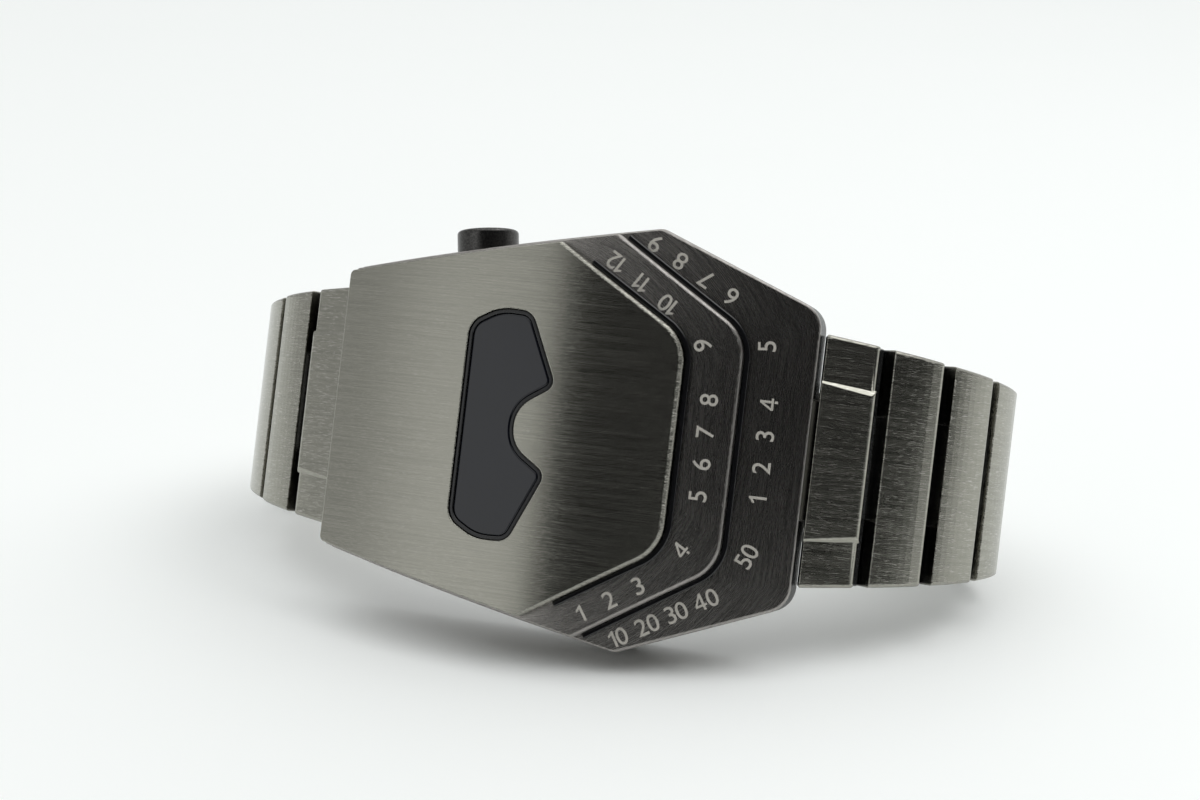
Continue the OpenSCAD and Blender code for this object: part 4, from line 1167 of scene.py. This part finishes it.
def linkProfile(pitch, outer, crown, farCut=None):
    # side view of a link as corners [x, y, radius], clockwise with Y up
    end = pitch + linkShape["noseReach"]
    middle = (bodyStart + end) / 2
    bow = ((end - bodyStart) / 2) ** 2 / (2 * crown) + crown / 2
    inner = linkShape["inner"]
    lip = linkShape["outer"]
    lipTop = linkShape["lipTop"]
    edgeRound = linkShape["edgeRound"]

    def crownY(x):
        return -(bow - outer - crown - math.sqrt(bow * bow - (x - middle) ** 2))

    corners = [(bodyStart, crownY(bodyStart), linkShape["startRound"])]
    stop = (end if farCut is None else farCut) - linkShape["crownEnd"]
    steps = linkShape["crownSteps"]
    for k in range(1, steps):
        x = bodyStart + (stop - bodyStart) * k / steps
        corners.append((x, crownY(x), 0.0))
    if farCut is None:
        top = math.sqrt(lip ** 2 - lipTop ** 2)
        low = math.sqrt(lip ** 2 - inner ** 2)
        corners += [
            (end, crownY(end), linkShape["noseRound"]),
            (end, -lipTop, linkShape["startRound"]),
            (pitch + top, -lipTop, edgeRound),
            (pitch + (top + low) / 2 + linkShape["lipPush"], -(lipTop + inner) / 2, linkShape["lipRound"]),
            (pitch + low, -inner, edgeRound),
        ]
    else:
        corners += [(farCut, crownY(farCut), linkShape["cutRound"]), (farCut, -inner, edgeRound)]
    corners.append((math.sqrt(bodyStart ** 2 - inner ** 2), -inner, edgeRound))
    for angle in linkShape["backAngles"]:
        turn = math.radians(angle)
        corners.append((bodyStart * math.cos(turn), -bodyStart * math.sin(turn), 0.0))
    corners.append((bodyStart, 0.0, 0.0))
    return corners


def profileBlock(corners, half, outerRim, innerRim):
    # the side view drawn out to both sides, with rounded outer edges
    bm = bmesh.new()
    rimSteps = linkShape["rimSteps"]
    rims = []
    for a, b in zip(corners, corners[1:] + corners[:1]):
        rims.append(outerRim if min(a[1], b[1]) > linkShape["rimFrom"] else innerRim)
    rings = []
    shares = [math.pi / 2 * k / rimSteps for k in range(rimSteps + 1)]
    for sign in (1, -1):
        for angle in (shares if sign == 1 else shares[::-1]):
            points = ringPoints(corners, rims, 1 - math.sin(angle), 1 - math.cos(angle),
                linkShape["arcStep"])
            rings.append([bm.verts.new((x, -y, sign * (half - depth))) for x, y, depth in points])
    for ringA, ringB in zip(rings, rings[1:]):
        bridge(bm, ringA, ringB)
    for ring in (rings[0], rings[-1]):
        flat = [[Vector((v.co.x, v.co.y, 0)) for v in ring]]
        for triangle in geometry.tessellate_polygon(flat):
            bm.faces.new([ring[k] for k in triangle])
    return meshFrom(bm)


roomShape = {
    "outer": 0.85,
    "inner": 3.3,
    "reach": 2.9,
    "slotInner": 2.3,
    "slotReach": 3.65,
}


def roomSteps(x):
    # room in a link's far end for the next tongue, open towards the wrist
    half = linkShape["tongueHalf"] + linkShape["sideGap"]
    radius = linkShape["tongueRadius"] + linkShape["gap"]
    room = roomShape
    return [
        ("DIFFERENCE", rod(radius, -half, half, Matrix.Translation((x, 0, 0)), sidesOf["knuckle"])),
        ("DIFFERENCE", block((x, -room["outer"], -half), (x + room["reach"], room["inner"], half))),
        ("DIFFERENCE", block((x - radius, 0, -half), (x + room["slotReach"], room["slotInner"], half))),
    ]


def tongueSteps(shape, x, low, high):
    # a rounded bar at x and a web from low to high
    half = shape["tongueHalf"]
    place = Matrix.Translation((x, 0, 0))
    return [
        ("UNION", rod(shape["tongueRadius"], -half, half, place, sidesOf["knuckle"])),
        ("UNION", block((low, -shape["webOuter"], -half), (high, shape["webInner"], half))),
    ]


def boreSteps(pitch, nearBore):
    half = linkShape["boreHalf"]
    return [("DIFFERENCE", rod(radius, -half, half, Matrix.Translation((x, 0, 0)), sidesOf["pin"]))
        for x, radius in ((0, nearBore), (pitch, linkShape["farBore"]))]


def makeLinkTree():
    # spreads a master link to its place's width and sets it on its pin
    tree, s, end = newTree("braceletLink", [("Spread", "Float", 0.0),
        ("Narrowing", "Float", linkShape["taper"]), ("Fixed Half", "Float", linkShape["fixedHalf"]),
        ("Tilt", "Float", 0.0), ("Pin", "Vector", None), ("Side", "Float", 1.0),
        ("Material", "Material", None)])
    x, y, z = positionParts(tree)
    outside = mathNode(tree, "GREATER_THAN", mathNode(tree, "ABSOLUTE", z), s["Fixed Half"])
    grow = mathNode(tree, "SUBTRACT", s["Spread"], mathNode(tree, "MULTIPLY", s["Narrowing"], x))
    shift = mathNode(tree, "MULTIPLY", mathNode(tree, "SIGN", z), mathNode(tree, "MULTIPLY", grow, outside))
    offset = addNode(tree, "ShaderNodeCombineXYZ", {2: shift})
    widened = setPosition(tree, s["Geometry"], "Offset", offset.outputs[0])
    turn = addNode(tree, "ShaderNodeCombineXYZ", {2: s["Tilt"]})
    placed = addNode(tree, "GeometryNodeTransform", {"Geometry": widened, "Translation": s["Pin"],
        "Rotation": turn.outputs[0]})
    mirror = addNode(tree, "ShaderNodeCombineXYZ", {0: s["Side"], 1: 1.0, 2: 1.0})
    sided = addNode(tree, "GeometryNodeTransform", {"Geometry": placed.outputs[0],
        "Scale": mirror.outputs[0]})
    closeTree(tree, end, sided.outputs[0], s["Material"])
    return tree


# painted shade in the grooves between links and on the end link's cut
grooveLook = {
    "inset": 0.06,
    "innerInset": 0.1,
    "facing": 0.75,
    "near": (-1.4, -0.8),  # depths between which the wall goes from lit to dark
    "far": (-0.95, -0.35),
    "cut": (-0.9, -0.2),
    "cutSlack": 0.05,
}
strokeShift = {"side": 3.7, "face": 5.3}  # keeps the strokes of two links apart


def ease(value, low, high):
    share = max(0.0, min(1.0, (value - low) / (high - low)))
    return share * share * (3 - 2 * share)


def linkGrooveShade(side, i, pitch):
    # painted shade: the walls and floors of the grooves between links are darkened
    back = linkFrame(side, i).inverted()
    turn = back.to_3x3()
    near = bodyStart + grooveLook["inset"]
    far = pitch + linkShape["noseReach"] - grooveLook["inset"]

    def groove(p, n):
        q = back @ p
        inside = q.y > linkShape["inner"] - grooveLook["innerInset"]
        if near < q.x < far or abs((turn @ n).z) > grooveLook["facing"] or inside:
            return 0.0
        return ease(q.y, *grooveLook["near" if q.x < far else "far"])
    return groove


def linkBrush(side, i):
    # strokes run along the link, over its outer face, sides and inner face
    back = linkFrame(side, i).inverted()
    turn = back.to_3x3()

    def brush(p, n):
        q = back @ p
        if abs((turn @ n).z) > grooveLook["facing"]:
            return q.y + i * strokeShift["side"], q.x + side
        return q.z + i * strokeShift["face"], q.x - q.y + side
    return brush


linkTree = makeLinkTree()


def placeLink(side, i, master, spread, narrowing, name, node, groove):
    # the links of the 12 o'clock side are mirrored
    pin = pinPlace(i)
    mesh = runTree(linkTree, master.copy(), {"Spread": spread, "Narrowing": narrowing,
        "Fixed Half": linkShape["fixedHalf"], "Tilt": math.radians(linkShape["tilts"][i]),
        "Pin": (pin.x, pin.y, 0.0), "Side": 1.0 if side == 6 else -1.0, "Material": linkSteel})
    if side == 12:
        mesh.flip_normals()
    finishPiece(name, mesh, node, [node], linkSteel, linkBrush(side, i), groove)


lastShape = {  # the last link's round far end, which holds the clasp's spring bar
    "cut": 2.3,
    "tongueRadius": 1.3,
    "tongueHalf": 7.0,
    "web": 2.9,
    "webOuter": 1.0,
    "webInner": 1.15,
}


def makeMaster(crown, room, knuckle, farCut=None):
    profile = linkProfile(linkShape["pitch"], linkShape["outer"], crown, farCut)
    body = profileBlock(profile, linkShape["masterHalf"], linkShape["outerRim"], linkShape["innerRim"])
    tongue = tongueSteps(linkShape, 0.0, 0.0, bodyStart + linkShape["webLength"])
    return combined(body, room + tongue + knuckle + boreSteps(linkShape["pitch"], linkShape["nearBore"]))


lastPin = linkShape["pitch"]
knuckle = tongueSteps(lastShape, lastPin, lastPin - lastShape["web"], lastPin)
plainMaster = makeMaster(linkShape["crown"], roomSteps(lastPin), [])
lastMaster = makeMaster(linkShape["lastCrown"], [], knuckle, lastPin - lastShape["cut"])
for side in (6, 12):
    for i in range(1, len(linkShape["tilts"])):
        near = halfAt(reachOf(i))
        far = halfAt(reachOf(i + 1))
        node = f"link_{side}_{i}"
        placeLink(side, i, lastMaster if node == "link_12_6" else plainMaster,
            near - linkShape["masterHalf"], (near - far) / linkShape["pitch"], "steel_" + node, node,
            linkGrooveShade(side, i, linkShape["pitch"]))
print("links ready")

endShape = {
    "panelHeight": 0.35,
    "panelHalf": 8.1,
    "panelSlope": 0.14,
    "panelBevel": 0.6,
    "bevelDepth": 0.4,
    "panelRim": 0.1,
    "crown": 0.05,
    "rim": 0.4,
    "startX": -0.5,
    "bodySlack": 0.4,
    "footSlack": 0.01,
    "edgeRound": 0.05,
    "cutX": 25.4,
    "lipX": 24.95,
    "lipTop": 0.9,
    "lipFoot": 1.7,
    "tongueHalf": 6.0,
    "tongueRadius": 1.3,
    "web": 3.6,
    "webOuter": 0.9,
    "webInner": 1.1,
    "barBore": 0.79,
}


def clippedCorners(corners, point, normal):
    # the part of a side view on the positive side of a line
    kept = []
    for corner, following in zip(corners, corners[1:] + corners[:1]):
        a = Vector(corner[:2])
        b = Vector(following[:2])
        da = (a - point).dot(normal)
        db = (b - point).dot(normal)
        if da >= 0:
            kept.append(corner)
        if da * db < 0:
            p = a + (b - a) * da / (da - db)
            kept.append((p.x, p.y, linkShape["edgeRound"]))
    return kept


def endProfile(outer, withLip):
    foot = linkShape["inner"]
    edgeRound = endShape["edgeRound"]
    corners = linkProfile(linkShape["endPitch"], outer, endShape["crown"])
    body = [c for c in corners if c[0] > bodyStart + endShape["bodySlack"]]
    far = [c for c in body if c[1] > -foot + endShape["footSlack"] or c[0] > linkShape["endPitch"]]
    profile = [(endShape["startX"], outer, edgeRound)] + far + [(endShape["startX"], -foot, edgeRound)]
    tilt = math.radians(linkShape["tilts"][0])
    pin = pinPlace(0)
    cut = endShape["cutX"] - pin.x
    # the cut is a plane across the watch's X, seen in the tilted link with Y up
    level = Vector((math.cos(tilt), math.sin(tilt)))
    down = Vector((math.sin(tilt), -math.cos(tilt)))
    kept = clippedCorners(profile, level * cut, level)
    if withLip:
        reach = endShape["lipX"] - pin.x
        for x, y in ((cut, "lipFoot"), (reach, "lipFoot"), (reach, "lipTop"), (cut, "lipTop")):
            p = level * x + down * endShape[y]
            kept.append((p.x, p.y, edgeRound))
    return kept


def makeEndLink():
    near = halfAt(0)
    far = halfAt(reachOf(1))
    pitch = linkShape["endPitch"]
    panelOuter = linkShape["outer"] + endShape["panelHeight"]
    panelRim = endShape["panelRim"]
    base = profileBlock(endProfile(linkShape["outer"], True), near, endShape["rim"], linkShape["innerRim"])
    for v in base.vertices:
        v.co.z -= math.copysign((near - far) / pitch * v.co.x, v.co.z)
    panel = profileBlock(endProfile(panelOuter, False), endShape["panelHalf"], panelRim, panelRim)
    for v in panel.vertices:
        lower = max(0.0, min(1.0, (v.co.y + linkShape["outer"] + endShape["panelHeight"])
            / endShape["bevelDepth"]))
        v.co.z -= math.copysign(endShape["panelSlope"] * v.co.x - endShape["panelBevel"] * lower, v.co.z)
    return combined(base, [("UNION", panel)] + tongueSteps(endShape, 0.0, 0.0, endShape["web"])
        + roomSteps(pitch) + boreSteps(pitch, endShape["barBore"]))


def endLinkGrooveShade(side):
    # painted shade: the end link's cut face by the case darkens with depth; its far groove is shaded as on the
    # other links
    far = linkGrooveShade(side, 0, linkShape["endPitch"])
    pin = pinPlace(0)

    def groove(p, n):
        if abs(p.x) < endShape["cutX"] + grooveLook["cutSlack"] and abs(n.z) < grooveLook["facing"]:
            return ease(p.y - pin.y, *grooveLook["cut"])
        return far(p, n)
    return groove


endMaster = makeEndLink()
for side in (6, 12):
    placeLink(side, 0, endMaster, 0.0, 0.0, f"steel_end_{side}", f"end_link_{side}", endLinkGrooveShade(side))
print("end links ready")


nodeFinishes = {
    "bareSteel": ["cover_screws", "case_back_screws", "pusher_tube", "pusher_clip", "pusher_spring",
        "spring_bar_6", "spring_bar_12", "clasp_end_pin", "clasp_hinge_pins", "clasp_spring_bar",
        "battery_cells", "quartz_crystal"] + [f"pin_{s}_{i}" for s in (6, 12) for i in range(1, 7)],
    "backSteel": ["case_back"],
    "claspSteel": ["clasp_cover", "clasp_inner_blade", "clasp_middle_blade"],
    "pusherSteel": ["pusher"],
    "contactMetal": ["battery_clip", "button_contact"],
    "lightEmitter": ["hour_leds", "minute_leds"],
    "displayBlack": ["display_module", "module_frame"],
    "boardGreen": ["circuit_board"],
    "chipBlack": ["controller_chip"],
    "blackRubber": ["case_back_gasket", "pusher_gasket"],
}
for finish, nodes in nodeFinishes.items():
    for node in nodes:
        mesh = frame["nodes"][node].data
        mesh.materials.clear()
        mesh.materials.append(finishes[finish])
print("node finishes ready")


floorLook = {
    "half": 4.0,
    "cells": 40,
    "dark": (0.955, 0.975, 0.965, 1),
    "light": (0.975, 0.985, 0.98, 1),
    "roughness": 0.75,
    "specular": 0.2,
    "cloudScale": 9.0,
    "grainScale": 1800.0,
    "bump": 0.04,
    "bumpDepth": 0.0001,
}


def makeFloor(look):
    material, tree, shader = newMaterial("paleFloor", look["roughness"],
        Specular_IOR_Level=look["specular"])
    place = objectPlace(tree)
    body = mixColour(tree, noise(tree, place, look["cloudScale"], 3.0), look["dark"], look["light"])
    tree.links.new(body, shader.inputs["Base Color"])
    addBump(tree, shader, noise(tree, place, look["grainScale"], 3.0), look["bump"], look["bumpDepth"])
    bm = bmesh.new()
    bmesh.ops.create_grid(bm, x_segments=look["cells"], y_segments=look["cells"], size=look["half"])
    mesh = toMesh(bm, "floor")
    mesh.materials.append(material)
    obj = addObject("floor", mesh)


studio = {  # brightness of the tent, by degrees round the watch from its front and by height
    "front": 1.0,
    "frontFrom": -60.0,
    "frontTo": -36.0,
    "left": 0.55,
    "behind": 0.95,
    "behindTo": -165.0,
    "leftFrom": -120.0,
    "dark": 0.02,
    "darkFrom": -17.0,
    "darkTo": 74.0,
    "soft": 0.8,
    "rightFull": 128.0,
    "wall": 0.45,
    "wallFrom": 0.33,
    "wallTo": 0.46,
    "wallStart": -70.0,
    "wallFull": -50.0,
    "overhead": 1.4,
    "overheadFrom": 0.62,
    "overheadTo": 0.85,
    "colour": (0.985, 1.0, 0.995, 1),
}


def blend(tree, share, low, high):
    return mathNode(tree, "MULTIPLY_ADD", share, mathNode(tree, "SUBTRACT", high, low), low)


def makeWorld(look):
    # a pale tent with a dark opening on the camera's side, by direction
    world = bpy.data.worlds.new("studio")
    scene.world = world
    world.use_nodes = True
    tree = world.node_tree
    tree.nodes.clear()
    ray = addNode(tree, "ShaderNodeTexCoord").outputs["Generated"]
    ahead, aside = (addNode(tree, "ShaderNodeVectorMath", {0: ray, 1: axis},
        operation="DOT_PRODUCT").outputs["Value"] for axis in (-inward, along))
    degrees = mathNode(tree, "MULTIPLY", mathNode(tree, "ARCTAN2", aside, ahead), 180.0 / math.pi)
    height = addNode(tree, "ShaderNodeSeparateXYZ", {0: ray}).outputs[2]
    value = ramp(tree, degrees, look["behindTo"], look["leftFrom"], look["behind"], look["left"])
    front = ramp(tree, degrees, look["frontFrom"], look["frontTo"])
    value = mathNode(tree, "MULTIPLY_ADD", front, look["front"] - look["left"], value)
    level = ramp(tree, height, look["wallFrom"], look["wallTo"], 1.0, look["wall"])
    wall = ramp(tree, degrees, look["wallStart"], look["wallFull"])
    value = mathNode(tree, "MULTIPLY", value, blend(tree, wall, 1.0, level))
    right = mathNode(tree, "MULTIPLY", ramp(tree, degrees, look["darkTo"], look["rightFull"],
        look["dark"], 1.0), look["behind"])
    opening = ramp(tree, degrees, look["darkFrom"] - look["soft"], look["darkFrom"] + look["soft"])
    value = blend(tree, opening, value, right)
    above = ramp(tree, height, look["overheadFrom"], look["overheadTo"])
    value = blend(tree, above, value, look["overhead"])
    background = addNode(tree, "ShaderNodeBackground", {"Color": look["colour"], "Strength": value})
    addNode(tree, "ShaderNodeOutputWorld", {0: background.outputs[0]})


softbox = {
    "place": (0.4, 0.05, 0.62),
    "target": (0.0, 0.0, 0.02),
    "size": (0.55, 0.45),
    "power": 1.0,
}


def addSoftbox(name, look):
    lamp = bpy.data.lights.new(name, "AREA")
    lamp.shape = "RECTANGLE"
    lamp.size, lamp.size_y = look["size"]
    lamp.energy = look["power"]
    obj = addObject(name, lamp)
    obj.location = look["place"]
    aim = Vector(look["target"]) - Vector(look["place"])
    obj.rotation_euler = aim.to_track_quat("-Z", "Y").to_euler()


cameraLook = {  # millimetres and degrees in the watch's frame, clip distances in metres
    "target": (5.325, 0.0, 0.0),
    "distance": 200.0,
    "round": 15.0,  # towards the 6 o'clock side
    "turn": 6.7,
    "lens": 60.7,
    "sensor": 36.0,
    "shiftY": 0.03,
    "clipStart": 0.005,
    "clipEnd": 50.0,
}


def makeCamera(look):
    angle = math.radians(look["round"])
    turn = math.radians(look["turn"])
    away = Vector((math.sin(angle), -math.cos(angle), 0.0))
    level = Vector((math.cos(angle), math.sin(angle), 0.0))
    up = Vector((0.0, 0.0, 1.0))
    right = level * math.cos(turn) + up * math.sin(turn)
    over = up * math.cos(turn) - level * math.sin(turn)
    place = Matrix((right, over, away)).transposed().to_4x4()
    camera = bpy.data.cameras.new("camera")
    camera.lens = look["lens"]
    camera.sensor_width = look["sensor"]
    camera.shift_y = look["shiftY"]
    camera.clip_start = look["clipStart"]
    camera.clip_end = look["clipEnd"]
    obj = addObject("camera", camera)
    turned = watchPlace.to_3x3().to_4x4() @ place
    turned.translation = watchMm @ (Vector(look["target"]) + away * look["distance"])
    obj.matrix_world = turned
    scene.camera = obj


makeFloor(floorLook)
makeWorld(studio)
addSoftbox("topSoftbox", softbox)
makeCamera(cameraLook)
scene.view_settings.view_transform = "Standard"
print("floor, light and camera ready")

bpy.context.view_layer.update()
